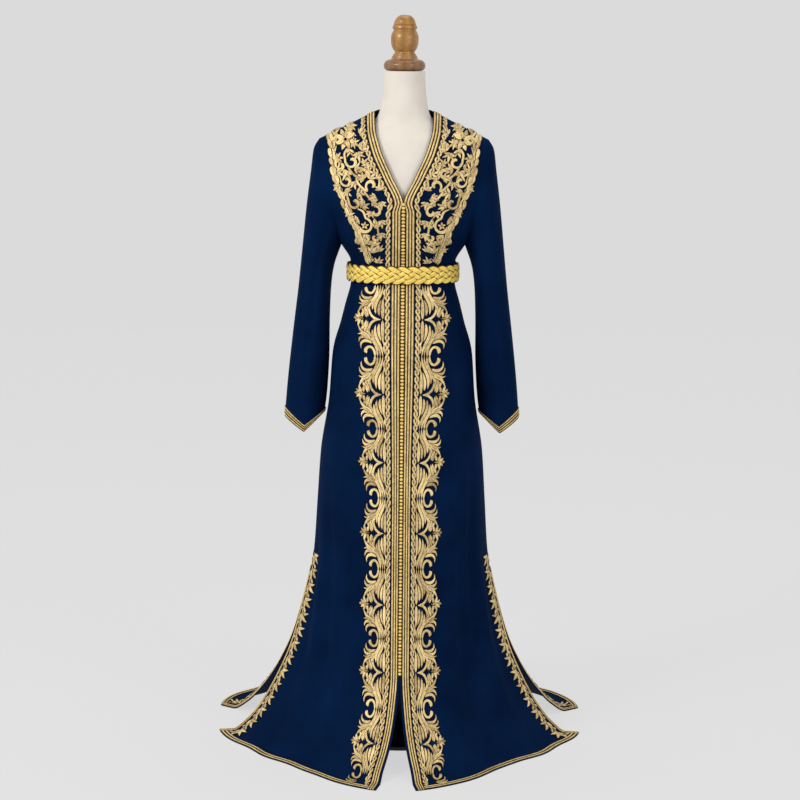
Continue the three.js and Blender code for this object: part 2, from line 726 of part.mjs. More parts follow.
// ---------------------------------------------------------------------------
// Dress form and its stand
// ---------------------------------------------------------------------------
function addDressForm() {
  const angles = steps(0, 360, 24).slice(0, -1);
  const rings = formRows.rows.map(([z, halfWidth, front, backDepth]) => angles.map((angle) => {
    const [cosine, sine] = [Math.cos(degrees(angle)), Math.sin(degrees(angle))];
    const power = z > formNeckZ ? 1 : 2 / formBow;
    return vector(
      Math.sign(cosine) * Math.abs(cosine) ** power * halfWidth,
      Math.sign(sine) * Math.abs(sine) ** power * (sine < 0 ? front : backDepth),
      z,
    );
  }));
  addPiece('form_torso', ringBody(rings), 'linen');
  addPiece('neck_disc', turned(discOutline), 'turnedWood');
  addPiece('finial', turned(finialOutline, 24), 'turnedWood');
  const poleTop = formBottomZ - seamGap;
  const poleOutline = [[0, poleTop], [pole.radius, poleTop], [pole.radius, pole.bottomZ], [0, pole.bottomZ]];
  addPiece('pole', turned(poleOutline, 24), 'darkSteel');
  const { radius, thickness, chamfer } = base;
  const baseOutline = [
    [0, thickness], [radius - chamfer, thickness], [radius, thickness - chamfer], [radius, 0], [0, 0],
  ];
  addPiece('base', turned(baseOutline, 48), 'darkSteel');
}

addFrontPieces();
addButtonStrip();
addBackPieces();
addSleeves();
addEdgeTrims();
addBelt();
addDressForm();

export default kaftan;
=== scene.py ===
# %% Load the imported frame
import bpy
import numpy as np
from mathutils import Euler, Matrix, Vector


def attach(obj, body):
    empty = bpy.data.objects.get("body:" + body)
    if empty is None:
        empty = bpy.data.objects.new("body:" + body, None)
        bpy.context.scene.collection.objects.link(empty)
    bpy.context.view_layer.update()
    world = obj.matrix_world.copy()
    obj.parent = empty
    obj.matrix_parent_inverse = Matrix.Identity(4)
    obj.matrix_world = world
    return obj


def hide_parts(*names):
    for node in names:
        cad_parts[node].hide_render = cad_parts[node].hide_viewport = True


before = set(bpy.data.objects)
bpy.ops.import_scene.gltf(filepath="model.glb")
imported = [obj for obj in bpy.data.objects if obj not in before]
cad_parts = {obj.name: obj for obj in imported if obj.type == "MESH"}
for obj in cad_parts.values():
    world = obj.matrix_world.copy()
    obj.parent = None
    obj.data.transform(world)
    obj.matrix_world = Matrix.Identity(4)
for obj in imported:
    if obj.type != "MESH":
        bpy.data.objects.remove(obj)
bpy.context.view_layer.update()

# %% [markdown]
# ## Camera
# The kaftan is seen square from the front by a camera on a long lens, a little above the belt and tilted
# down, so that the hem opens out on the floor. It is made first, because everything is judged through it.

# %% Camera
CAMERA_DISTANCE = 5.0
CAMERA_HEIGHT = 1.6
CAMERA_TILT = np.radians(9.16)
CAMERA_ROLL = np.radians(0.45)
CAMERA_TURN = 0.0009
CAMERA_LENS = 97.8
SENSOR_WIDTH = 36.0
camera_data = bpy.data.cameras.new("camera")
camera_data.lens = CAMERA_LENS
camera_data.sensor_width = SENSOR_WIDTH
camera = bpy.data.objects.new("camera", camera_data)
bpy.context.scene.collection.objects.link(camera)
camera.location = (0.0, -CAMERA_DISTANCE, CAMERA_HEIGHT)
look = Euler((np.pi / 2 - CAMERA_TILT, 0.0, CAMERA_TURN)).to_matrix()
roll = Euler((0.0, 0.0, CAMERA_ROLL)).to_matrix()
camera.rotation_euler = (look @ roll).to_euler()
bpy.context.scene.camera = camera
bpy.context.scene.view_settings.view_transform = "Standard"
print("lens", CAMERA_LENS, "mm at", CAMERA_DISTANCE, "m")

# %% [markdown]
# ## The cut of the kaftan in tables
# A kaftan is cut from a few large panels. Each table line below is one cross-section, from the shoulder
# down to the hem, in millimetres. A smooth curve through the lines gives the cloth at any height, so the
# same surface carries the cloth, the braids and the embroidery, and nothing has to be fitted to it.

# %% Tables of sections
MM = 0.001
# inner edge x, y, z, then how far the section bows out and how it turns to the side
FRONT_ROWS = np.array([
    [66.4, 0, 1461, 2.0, 1.0], [66.0, -34, 1446, 2.0, 1.0], [64.5, -60, 1424, 2.0, 1.0],
    [51.5, -90, 1376, 2.0, 1.0], [26.0, -110, 1319, 2.0, 1.0], [0, -120, 1258, 2.0, 1.1],
    [0, -117, 1212, 2.1, 1.4], [0, -107, 1160, 2.2, 2.0], [0, -93.5, 1122, 2.2, 2.2],
    [0, -91, 1095, 2.2, 2.2], [0, -93, 1068, 2.2, 2.2], [0, -110, 1020, 2.2, 2.2],
    [0, -126, 975, 2.2, 2.2], [0, -145, 905, 2.1, 2.1], [0, -155, 800, 2.1, 2.1],
    [0, -165, 680, 2.0, 2.0], [0, -180, 560, 1.95, 1.95], [0, -198, 440, 1.9, 1.9],
    [0, -223, 322, 1.8, 1.8], [0, -250, 210, 1.7, 1.7], [0.15, -290, 120, 1.6, 1.6],
    [0.4, -332, 60, 1.5, 1.5], [0.7, -378, 20, 1.42, 1.42], [0.85, -414, 2, 1.38, 1.38],
    [1, -446, 2, 1.36, 1.36]])
BACK_ROWS = np.array([
    [0, 60, 1470, 2.0, 1.0], [0, 70, 1452, 2.0, 1.0], [0, 80, 1424, 2.0, 1.0],
    [0, 92, 1376, 2.0, 1.0], [0, 98, 1319, 2.0, 1.0], [0, 98, 1258, 2.0, 1.1],
    [0, 93, 1212, 2.1, 1.4], [0, 87, 1160, 2.2, 2.0], [0, 83, 1122, 2.2, 2.2],
    [0, 81, 1095, 2.2, 2.2], [0, 83.5, 1068, 2.2, 2.2], [0, 102, 1020, 2.2, 2.2],
    [0, 118, 975, 2.2, 2.2], [0, 137, 905, 2.1, 2.1], [0, 150, 800, 2.1, 2.1],
    [0, 163, 680, 2.0, 2.0], [0, 180, 560, 2.0, 2.0], [0, 202, 440, 2.0, 2.0],
    [0, 230, 322, 2.0, 2.0], [0, 262, 210, 2.0, 2.0], [0, 308, 120, 2.0, 2.0],
    [0, 350, 60, 2.0, 2.0], [0, 392, 20, 2.0, 2.0], [0, 424, 2, 2.0, 2.0],
    [0, 455, 2, 2.0, 2.0]])
ARMHOLE_ANGLES = np.array([0, 22.5, 40, 62, 86, 108, 140, 180])
# side edge from the armpit down: x, z, and y of the front and back edges
SIDE_ROWS = np.array([
    [142, 1157, 0, 0], [121, 1122, 0, 0], [118, 1095, 0, 0], [120, 1068, 0, 0], [132, 1022, 0, 0],
    [143, 978, 0, 0], [161, 911, 0, 0], [169.5, 800, 0, 0], [188, 680, 0, 0], [196, 560, 0, 0],
    [204, 440, 0, 0], [227, 322, 0, 20], [256, 213, 0, 50], [298, 117, -3, 85], [328, 66, -8, 110],
    [361, 26, -12, 125], [396, 2, -18, 146], [427, 2, -23, 170]])
# sleeve rings: outer x and z, inner x and z, half depth
SLEEVE_ROWS = np.array([
    [194, 1398, 142, 1157, 70], [206, 1376, 149, 1138, 69], [213, 1322, 156, 1118, 67],
    [222, 1250, 162, 1090, 64], [232, 1150, 166.5, 1040, 60], [241, 1060, 168.5, 972, 57],
    [250, 985, 169, 910, 54], [258, 916, 171.5, 850, 52], [266, 840, 175.5, 800, 50],
    [273, 757, 180, 768, 48]])
# dress form: height, half width, depth to the front and to the back
FORM_ROWS = np.array([
    [1551.6, 47.2, 47, 47], [1530, 47.6, 47.5, 47.5], [1497, 50, 49, 49], [1472, 54, 51, 51],
    [1456, 58, 52, 52], [1441, 68, 55, 56], [1424, 94, 61, 64], [1400, 127, 75, 74],
    [1370, 150, 86, 82], [1337, 158, 96, 87], [1280, 152, 107, 90], [1230, 139, 107, 87],
    [1190, 130, 99, 83], [1157, 123, 90, 79], [1120, 111, 83, 76], [1095, 107, 79, 75],
    [1040, 117, 86, 84], [980, 130, 96, 98], [911, 143, 104, 108], [850, 147, 102, 108],
    [800, 144, 96, 102]])
# folds: side, place across at top and bottom, height where they start, half width across, depth
FRONT_FOLDS = [
    (1, 0.50, 0.44, 600, 0.050, -16), (1, 0.66, 0.55, 760, 0.045, -15), (1, 0.83, 0.74, 520, 0.05, -10),
    (-1, 0.70, 0.49, 700, 0.050, -16), (-1, 0.86, 0.68, 560, 0.05, -12), (-1, 0.50, 0.36, 480, 0.045, -9)]
BACK_FOLDS = [
    (1, 0.25, 0.22, 700, 0.07, -14), (1, 0.52, 0.46, 620, 0.06, -12),
    (-1, 0.18, 0.20, 660, 0.07, -12), (-1, 0.45, 0.42, 720, 0.06, -14), (-1, 0.72, 0.66, 560, 0.06, -9)]
ARMHOLE_TOP, ARMHOLE_BOTTOM, ARMHOLE_DEPTH = (194, 1398), (142, 1157), 70
NECK_SIDE, NECK_BACK = (66.4, 1461), (60, 1470)
NECK_POINT, ARMPIT, SLIT_TOP, FLOOR, HEM = 5, 7, 17, 23, 24
SLIT_SPREAD = {1: 37, -1: 50}
CLOTH, SEWN_GAP = 2.0, 0.1
SLEEVE_END, CUFF_DIP = 9, 38
print("sections:", len(FRONT_ROWS), "front,", len(BACK_ROWS), "back,", len(SLEEVE_ROWS), "sleeve")


# %% Smooth columns
def ramp(value):
    """0 below 0, 1 above 1, and an even S between: 3t^2 - 2t^3."""
    t = np.clip(value, 0, 1)
    return t * t * (3 - 2 * t)


def column(values, rows):
    """Value of a table column at rows between its lines: a cubic with harmonic-mean slopes, so it never
    swings past the lines that it joins."""
    values = np.asarray(values, float)
    rows = np.asarray(rows, float)
    step = np.diff(values)
    before, after = step[:-1], step[1:]
    total = np.where(before + after == 0, 1, before + after)
    slope = np.r_[step[0], np.where(before * after > 0, 2 * before * after / total, 0), step[-1]]
    i = np.clip(np.floor(rows).astype(int), 0, len(values) - 2)
    t = np.clip(rows - i, 0, 1)
    start = (1 + 2 * t) * (1 - t) ** 2 * values[i] + t * (1 - t) ** 2 * slope[i]
    return start + t * t * (3 - 2 * t) * values[i + 1] + t * t * (t - 1) * slope[i + 1]


# %% [markdown]
# ## The cloth as surfaces
# A panel is a function of two numbers: how far across it, from 0 at the front edge to 1 at the side, and
# the row of the table. At each row the section runs from the front edge to the armhole or side seam as a
# bowed arc. The folds are soft troughs that fade in down the skirt, placed one by one and unevenly.

# %% Panel and sleeve surfaces
def armhole_point(angle, sign):
    """Ellipse of the armhole seam: 0 degrees at the shoulder, 180 at the armpit."""
    turn = np.radians(angle)
    x = (ARMHOLE_TOP[0] + ARMHOLE_BOTTOM[0]) / 2 + np.cos(turn) * (ARMHOLE_TOP[0] - ARMHOLE_BOTTOM[0]) / 2
    z = (ARMHOLE_TOP[1] + ARMHOLE_BOTTOM[1]) / 2 + np.cos(turn) * (ARMHOLE_TOP[1] - ARMHOLE_BOTTOM[1]) / 2
    return x, sign * ARMHOLE_DEPTH * np.sin(turn), z


def side_point(row, sign):
    """Side seam, then the slit edge, of the front (sign -1) or back (sign 1) panel."""
    k = row - ARMPIT
    x = column(SIDE_ROWS[:, 0], k)
    if sign > 0:
        x = x + 13 * ramp((row - SLIT_TOP) / (HEM - SLIT_TOP))
    return x, column(SIDE_ROWS[:, 3 if sign > 0 else 2], k), column(SIDE_ROWS[:, 1], k)


def folds_at(folds, side, across, z):
    """Sum of bell-shaped troughs that drift across the panel on their way down and grow wider."""
    depth = np.zeros(np.broadcast(across, z).shape)
    for fold_side, top, bottom, top_z, half_width, full in folds:
        down = np.clip(1 - z / top_z, 0, 1)
        offset = (across - top - (bottom - top) * down) / (half_width * (0.7 + down))
        depth = depth + (fold_side == side) * full * ramp(down * 1.6) * np.exp(-offset ** 2)
    return depth


def section(table, sign, across, row):
    """Arc from the inner edge to the armhole or side: x goes as sin^(2/bow), y as cos^(2/turn)."""
    arm = armhole_point(column(ARMHOLE_ANGLES, np.minimum(row, ARMPIT)), sign)
    edge = side_point(np.maximum(row, ARMPIT), sign)
    outer = [np.where(row <= ARMPIT, a, e) for a, e in zip(arm, edge)]
    inner = [column(table[:, k], row) for k in range(3)]
    turn = np.pi / 2 * np.clip(across, 0, 1)
    sideways = np.sin(turn) ** (2 / column(table[:, 3], row))
    forward = np.clip(np.cos(turn), 0, 1) ** (2 / column(table[:, 4], row))
    x = inner[0] + (outer[0] - inner[0]) * sideways
    y = outer[1] + (inner[1] - outer[1]) * forward
    z = inner[2] + (outer[2] - inner[2]) * sideways
    return x, y, z


def front_point(side, across, row):
    """Point of a front panel in metres, side being 1 for +X and -1 for -X."""
    across, row = np.broadcast_arrays(np.asarray(across, float), np.asarray(row, float))
    x, y, z = section(FRONT_ROWS, -1, across, row)
    slit = column(FRONT_ROWS[:, 0], row) * (row > SLIT_TOP)
    x = x + slit * (SLIT_SPREAD[side] - 1) * (1 - np.sin(np.pi / 2 * across))
    depth = folds_at(FRONT_FOLDS, side, across, z) / np.hypot(x, y)
    x, y = x * (1 + depth) + 0.15, y * (1 + depth) - 0.15
    return np.stack([side * x, y, z], -1) * MM


def back_point(side, across, row):
    """Point of one half of the back panel in metres. Above row 1 it closes on the neck and shoulder line."""
    across, row = np.broadcast_arrays(np.asarray(across, float), np.asarray(row, float))
    x, y, z = section(BACK_ROWS, 1, across, np.maximum(row, 1))
    top_x = ARMHOLE_TOP[0] * np.sin(np.pi / 2 * across)
    part = np.clip(top_x / NECK_SIDE[0], 0, 1)
    top_y = NECK_BACK[0] * np.sqrt(1 - part ** 2)
    along = (top_x - NECK_SIDE[0]) / (ARMHOLE_TOP[0] - NECK_SIDE[0])
    top_z = np.where(
        along < 0, NECK_BACK[1] + (NECK_SIDE[1] - NECK_BACK[1]) * part ** 2,
        NECK_SIDE[1] + (ARMHOLE_TOP[1] - NECK_SIDE[1]) * along)
    up = np.clip(1 - row, 0, 1)
    x, y, z = x + (top_x - x) * up, y + (top_y - y) * up, z + (top_z - z) * up
    depth = folds_at(BACK_FOLDS, side, across, z) / np.hypot(x, y)
    x, y = x * (1 + depth), y * (1 + depth) + 0.15
    return np.stack([side * x, y, z], -1) * MM


def sleeve_point(side, angle, row):
    """Ring of the sleeve: an ellipse between its outer and inner ends, with a pointed dip at the cuff."""
    angle, row = np.broadcast_arrays(np.asarray(angle, float), np.asarray(row, float))
    outer_x, outer_z, inner_x, inner_z, half = [column(SLEEVE_ROWS[:, k], row) for k in range(5)]
    turn = np.radians(angle)
    dip = CUFF_DIP * ramp((row - 6) / 3) * (1 - np.abs(np.cos(turn)))
    # Soft lengthwise folds: two on the front of the arm and one behind it, each with its own fade.
    fade = np.sin(np.pi * np.clip(row / 8.6, 0, 1)) ** 0.7
    fold = -4.5 * np.exp(-((angle - 118 + 6 * row) / 13) ** 2) * fade
    fade = ramp((row - 3) / 3) * ramp((SLEEVE_END - row) / 2)
    fold = fold - 3 * np.exp(-((angle - 62 + 2 * row) / 10) ** 2) * fade
    fade = np.sin(np.pi * np.clip(row / SLEEVE_END, 0, 1))
    fold = fold - 4 * np.exp(-((angle - 250) / 14) ** 2) * fade
    wide = (outer_x - inner_x) / 2 + fold * (row > 0.3)
    x = (outer_x + inner_x) / 2 + np.cos(turn) * wide
    y = -(half + fold) * np.sin(turn)
    z = (outer_z + inner_z) / 2 + np.cos(turn) * (outer_z - inner_z) / 2 - dip
    return np.stack([side * x, y, z], -1) * MM


def way_out(point, side, across, row, sign, small=0.004):
    """Unit normal of a panel from the cross product of its two slopes, turned to face out of the cloth."""
    a, b = np.clip(across - small, 0, 1), np.clip(across + small, 0, 1)
    c, d = np.clip(row - small, 0, HEM), np.clip(row + small, 0, HEM)
    sideways = point(side, b, row) - point(side, a, row)
    down = point(side, across, d) - point(side, across, c)
    normal = np.cross(sideways, down) * side * sign
    length = np.linalg.norm(normal, axis=-1, keepdims=True)
    normal = normal / np.where(length == 0, 1, length)
    here = point(side, across, row)
    check = normal[..., 1:2] * sign * 0.1 + normal[..., 0:1] * here[..., 0:1] + normal[..., 2:3] * 0.04
    return np.where(check < 0, -normal, normal)


print("centre front at the belt:", front_point(1, 0.0, 9.0).round(4))


# %% [markdown]
# ## Meshes from grids
# Every piece of cloth is a grid of points and a second grid a cloth's thickness further in, joined round
# their edges. Faces are worked out as whole arrays, and the mesh is turned inside out if its volume is
# negative, so all faces point outwards.

# %% Grid meshes
def grid_faces(rows, columns, ring=False):
    """Quads of a grid of points, as indices; a ring also joins its last column to its first."""
    index = np.arange(rows * columns).reshape(rows, columns)
    if ring:
        index = np.hstack([index, index[:, :1]])
    return np.stack([index[:-1, :-1], index[:-1, 1:], index[1:, 1:], index[1:, :-1]], -1).reshape(-1, 4), index


def make_piece(name, points, faces, material, uv=None, shade=None, sharp=50.0, turned_out=False):
    """A mesh object from points, quads, one uv pair a point and one shade a point, riding on the root body.
    turned_out says that its many closed parts already face outwards, so they are left as they are."""
    mesh = bpy.data.meshes.new(name)
    if not turned_out:
        a, b, c, d = (points[faces[:, k]] for k in range(4))
        volume = np.einsum("ij,ij->", a, np.cross(b, c)) + np.einsum("ij,ij->", a, np.cross(c, d))
        faces = faces[:, ::-1] if volume < 0 else faces
    mesh.vertices.add(len(points))
    mesh.vertices.foreach_set("co", points.astype(np.float32).ravel())
    mesh.loops.add(faces.size)
    mesh.loops.foreach_set("vertex_index", faces.astype(np.int32).ravel())
    mesh.polygons.add(len(faces))
    mesh.polygons.foreach_set("loop_start", np.arange(0, faces.size, 4, dtype=np.int32))
    mesh.update(calc_edges=True)
    if uv is not None:
        layer = mesh.uv_layers.new(name="cloth_uv")
        layer.data.foreach_set("uv", uv[faces.ravel()].astype(np.float32).ravel())
    if shade is not None:
        values = mesh.attributes.new("shade", "FLOAT", "POINT")
        values.data.foreach_set("value", shade.astype(np.float32).ravel())
    mesh.polygons.foreach_set("use_smooth", np.ones(len(faces), dtype=bool))
    if sharp:
        mesh.set_sharp_from_angle(angle=np.radians(sharp))
    mesh.materials.append(material)
    if not turned_out:
        mesh.validate()
    piece = bpy.data.objects.new(name, mesh)
    bpy.context.scene.collection.objects.link(piece)
    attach(piece, "root")
    return piece


def wall_arrays(outer, inner, ring=False):
    """Points and quads of a closed wall between two grids: outer, reversed inner, and the rims."""
    rows, columns = outer.shape[:2]
    faces, index = grid_faces(rows, columns, ring)
    half = rows * columns
    rims = [
        np.stack([index[0, 1:], index[0, :-1], index[0, :-1] + half, index[0, 1:] + half], -1),
        np.stack([index[-1, :-1], index[-1, 1:], index[-1, 1:] + half, index[-1, :-1] + half], -1)]
    if not ring:
        rims.append(np.stack([index[:-1, 0], index[1:, 0], index[1:, 0] + half, index[:-1, 0] + half], -1))
        rims.append(np.stack([index[1:, -1], index[:-1, -1], index[:-1, -1] + half, index[1:, -1] + half], -1))
    points = np.concatenate([outer.reshape(-1, 3), inner.reshape(-1, 3)])
    return points, np.concatenate([faces, faces[:, ::-1] + half, *rims])


def surface_area(grid, ring=False):
    """Area of a grid in square metres, as the sum of half the cross products of its quads' diagonals."""
    faces, _ = grid_faces(*grid.shape[:2], ring)
    p = grid.reshape(-1, 3)
    return 0.5 * np.linalg.norm(
        np.cross(p[faces[:, 2]] - p[faces[:, 0]], p[faces[:, 3]] - p[faces[:, 1]]), axis=1).sum()


# %% [markdown]
# ## Materials
# Gold braid, knots, belt and embroidery are all metallised thread, so one node group makes the fine thread
# for all of them and each material gives it its own scale and colours. The crepe is a dark matt cloth with a
# faint sheen, whose weave shows only close up. All patterns read the pieces' own uv map or object position.

# %% Node helpers
def new_material(name):
    """A material with an empty tree, its Principled shader and output joined."""
    material = bpy.data.materials.new(name)
    material.use_nodes = True
    tree = material.node_tree
    tree.nodes.clear()
    output = tree.nodes.new("ShaderNodeOutputMaterial")
    shader = tree.nodes.new("ShaderNodeBsdfPrincipled")
    tree.links.new(shader.outputs["BSDF"], output.inputs["Surface"])
    return material, tree, shader


def node(tree, kind, links=None, **values):
    """Adds a node, sets its properties, and joins or sets its inputs by name or number."""
    made = tree.nodes.new(kind)
    for key, value in values.items():
        setattr(made, key, value)
    for key, value in (links or {}).items():
        socket = made.inputs[key]
        if isinstance(value, bpy.types.NodeSocket):
            tree.links.new(value, socket)
        else:
            socket.default_value = value
    return made


def math(tree, operation, *inputs, clamp=False):
    """One Math node, and the socket it puts out."""
    return node(tree, "ShaderNodeMath", dict(enumerate(inputs)),
                operation=operation, use_clamp=clamp).outputs[0]


def color_ramp(tree, factor, stops):
    """Colour ramp with (position, colour) stops."""
    made = node(tree, "ShaderNodeValToRGB", {"Fac": factor})
    ramp_data = made.color_ramp
    while len(ramp_data.elements) < len(stops):
        ramp_data.elements.new(0.5)
    for element, (position, rgb) in zip(ramp_data.elements, stops):
        element.position = position
        element.color = (*rgb, 1.0)
    return made.outputs["Color"]


def mix(tree, factor, first, second):
    """Colour between two, each a socket or a colour."""
    return node(tree, "ShaderNodeMix", {0: factor, 6: first, 7: second}, data_type="RGBA").outputs[2]


def cloth_places(tree):
    """Place across and along a piece, from its own uv map."""
    uv = node(tree, "ShaderNodeUVMap", uv_map="cloth_uv").outputs["UV"]
    parts = node(tree, "ShaderNodeSeparateXYZ", {0: uv})
    return parts.outputs["X"], parts.outputs["Y"]


def noise(tree, where, scale, detail):
    """Soft uneven noise from 0 to 1 at a place."""
    return node(tree, "ShaderNodeTexNoise", {"Vector": where, "Scale": scale, "Detail": detail}).outputs["Fac"]


def finish_surface(tree, shader, color, height, strength, distance, constants):
    """Joins a colour and a bump to the shader, and sets its constant numbers."""
    tree.links.new(color, shader.inputs["Base Color"])
    bump = node(tree, "ShaderNodeBump", {"Height": height, "Strength": strength, "Distance": distance})
    tree.links.new(bump.outputs["Normal"], shader.inputs["Normal"])
    for name, value in constants.items():
        shader.inputs[name].default_value = value


# %% Thread group
FULL_TURN = 6.2832


def thread_group():
    """Group 'metal thread': from a place across and along a cord it puts out fine slanted threads, as a
    height for bump and a shade from 0 to 1. The shade carries painted highlight and shade, lighter on
    each thread's crest and darker in the groove between threads, mixed with fine blotches and slow
    uneven tarnish."""
    group = bpy.data.node_groups.new("metal thread", "ShaderNodeTree")
    for name, value in (("Across", 0.0), ("Along", 0.0), ("Slant", 1.0), ("Pitch", 1.2)):
        socket = group.interface.new_socket(name, in_out="INPUT", socket_type="NodeSocketFloat")
        socket.default_value = value
    group.interface.new_socket("Height", in_out="OUTPUT", socket_type="NodeSocketFloat")
    group.interface.new_socket("Shade", in_out="OUTPUT", socket_type="NodeSocketFloat")
    inside = node(group, "NodeGroupInput")
    outside = node(group, "NodeGroupOutput")
    leaning = math(group, "MULTIPLY", inside.outputs["Across"], inside.outputs["Slant"])
    place = math(group, "DIVIDE", math(group, "ADD", inside.outputs["Along"], leaning), inside.outputs["Pitch"])
    wave = math(group, "SINE", math(group, "MULTIPLY", place, FULL_TURN))
    height = math(group, "MULTIPLY_ADD", wave, 0.5, 0.5)
    where = node(group, "ShaderNodeTexCoord").outputs["Object"]
    blotch, slow = noise(group, where, 160.0, 3.0), noise(group, where, 22.0, 2.0)
    # Painted highlight and shade: 0.35 of the thread's height goes into its colour, so crests are lighter and grooves
    # darker.
    shade = math(group, "MULTIPLY_ADD", height, 0.35, math(group, "MULTIPLY", blotch, 0.75))
    shade = math(group, "ADD", shade, math(group, "MULTIPLY_ADD", slow, 0.5, -0.3), clamp=True)
    group.links.new(height, outside.inputs["Height"])
    group.links.new(shade, outside.inputs["Shade"])
    return group


THREAD = thread_group()


def thread_shades(tree, across, along, slant, pitch):
    """One use of the thread group, with its own slant and pitch."""
    made = node(tree, "ShaderNodeGroup", node_tree=THREAD)
    tree.links.new(across, made.inputs["Across"])
    tree.links.new(along, made.inputs["Along"])
    made.inputs["Slant"].default_value = slant
    made.inputs["Pitch"].default_value = pitch
    return made.outputs["Height"], made.outputs["Shade"]


# %% Gold and cloth materials
BRAID_DARK, BRAID_LIGHT = (0.24, 0.13, 0.03), (1.0, 0.76, 0.33)
# Near-black brown that the gold materials paint at the edges of their strokes: painted shade where a stroke meets the
# cloth.
EDGE_SHADE_BROWN = (0.016, 0.010, 0.007, 1.0)


def gold_material(name, dark, light, slant, pitch, outline=0.96, core=0.45):
    """Gold cord: uv x is the place across it from -1 to 1 and uv y the length in mm. The last part of the
    width fades to near-black brown, a painted shade where the thread goes down into the cloth, as strong as
    outline says, and the middle is a deeper gold. The shade attribute makes each cord or leaf a little
    lighter or darker than the next."""
    material, tree, shader = new_material(name)
    across, along = cloth_places(tree)
    height, shade = thread_shades(tree, across, along, slant, pitch)
    own = node(tree, "ShaderNodeAttribute", attribute_name="shade").outputs["Fac"]
    side = math(tree, "ABSOLUTE", across)
    value = math(tree, "ADD", shade, math(tree, "MULTIPLY_ADD", own, 0.5, -0.25), clamp=True)
    half = [0.5 * (p + q) for p, q in zip(dark, light)]
    gold = color_ramp(tree, value, [(0.0, dark), (0.35, half), (0.8, light)])
    deep = math(tree, "SUBTRACT", 1.0, math(tree, "DIVIDE", side, 0.34), clamp=True)
    deeper = (0.55 * light[0], 0.40 * light[1], 0.28 * light[2], 1.0)
    gold = mix(tree, math(tree, "MULTIPLY", deep, core), gold, deeper)
    # Painted shade: past 0.6 of the half width the gold darkens to near-black brown, as if shadowed where it meets the
    # cloth.
    edge_shade_mask = math(tree, "DIVIDE", math(tree, "SUBTRACT", side, 0.60), 0.16, clamp=True)
    gold = mix(tree, math(tree, "MULTIPLY", edge_shade_mask, outline), gold, EDGE_SHADE_BROWN)
    finish_surface(tree, shader, gold, height, 0.5, 0.0004,
                   {"Metallic": 0.25, "Roughness": 0.42, "Specular IOR Level": 0.12})
    return material


def trim_material(name, cords, half_width):
    """Flat braids sewn side by side: uv x is mm across the trim, cords are the middles of the gold braids,
    and the cloth that shows between them is near black."""
    material, tree, shader = new_material(name)
    across, along = cloth_places(tree)
    nearest = None
    for middle in cords:
        gap = math(tree, "ABSOLUTE", math(tree, "SUBTRACT", across, middle))
        nearest = gap if nearest is None else math(tree, "MINIMUM", nearest, gap)
    height, shade = thread_shades(tree, nearest, along, 1.4, 2.2)
    inside = math(tree, "DIVIDE", math(tree, "SUBTRACT", half_width + 0.3, nearest), 0.5, clamp=True)
    gold = color_ramp(tree, shade, [(0.0, BRAID_DARK), (0.8, BRAID_LIGHT)])
    cloth = color_ramp(tree, shade, [(0.3, (0.003, 0.003, 0.005)), (0.9, (0.028, 0.015, 0.007))])
    tree.links.new(math(tree, "MULTIPLY", inside, 0.35), shader.inputs["Metallic"])
    finish_surface(tree, shader, mix(tree, inside, cloth, gold), math(tree, "MULTIPLY", height, inside),
                   0.6, 0.0005, {"Roughness": 0.45, "Specular IOR Level": 0.15})
    return material


def crepe_material():
    """Navy crepe: uv in mm, a fine pebbled crossing weave as bump, and slow changes of tone."""
    material, tree, shader = new_material("navy crepe")
    across, along = cloth_places(tree)
    warp = math(tree, "SINE", math(tree, "MULTIPLY", across, 9.0))
    weft = math(tree, "SINE", math(tree, "MULTIPLY", along, 9.0))
    where = node(tree, "ShaderNodeTexCoord").outputs["Object"]
    pebble, slow = noise(tree, where, 900.0, 2.0), noise(tree, where, 9.0, 4.0)
    weave = math(tree, "MULTIPLY_ADD", math(tree, "MULTIPLY", warp, weft), 0.3, pebble)
    tone = math(tree, "MULTIPLY_ADD", weave, 0.25, math(tree, "MULTIPLY", slow, 0.75))
    navy = color_ramp(tree, tone, [(0.3, (0.0008, 0.0062, 0.025)), (0.7, (0.0018, 0.0122, 0.050))])
    finish_surface(tree, shader, navy, weave, 0.25, 0.0003, {
        "Roughness": 0.7, "Specular IOR Level": 0.01, "Sheen Weight": 0.01, "Sheen Roughness": 0.4,
        "Sheen Tint": (0.10, 0.35, 0.9, 1.0)})
    return material


CREPE = crepe_material()
THREAD_DARK, THREAD_LIGHT = (0.11, 0.050, 0.010), (1.0, 0.78, 0.38)
# Every gold here paints that edge shade; the knots take 0.9 of it and the belt 0.95.
EMBROIDERY_GOLD = gold_material("embroidery gold", THREAD_DARK, THREAD_LIGHT, 0.6, 1.3)
KNOT_GOLD = gold_material("knot gold", (0.46, 0.23, 0.045), (1.0, 0.73, 0.22), 1.0, 1.1, 0.9, 0.2)
BELT_GOLD = gold_material("belt gold", (0.50, 0.28, 0.035), (1.0, 0.77, 0.19), 0.8, 1.6, 0.95, 0.0)
# Middles of the gold braids in mm across each trim, and their half width.
BAND_CORDS, BAND_HALF = (2.4, 9.2, 16.0), 1.9
EDGE_CORDS, EDGE_HALF = (4.2, 13.2), 1.8
BAND_GOLD = trim_material("band gold", BAND_CORDS, BAND_HALF)
EDGE_GOLD = trim_material("edge gold", EDGE_CORDS, EDGE_HALF)
print("materials:", [m.name for m in bpy.data.materials])

# %% [markdown]
# ## Front, back and sleeves
# The panels are thin closed walls. They could be flat cuts draped by simulation, but the fall of this
# kaftan is known, so the walls are worked out directly and stay where the braids and stitches expect them.

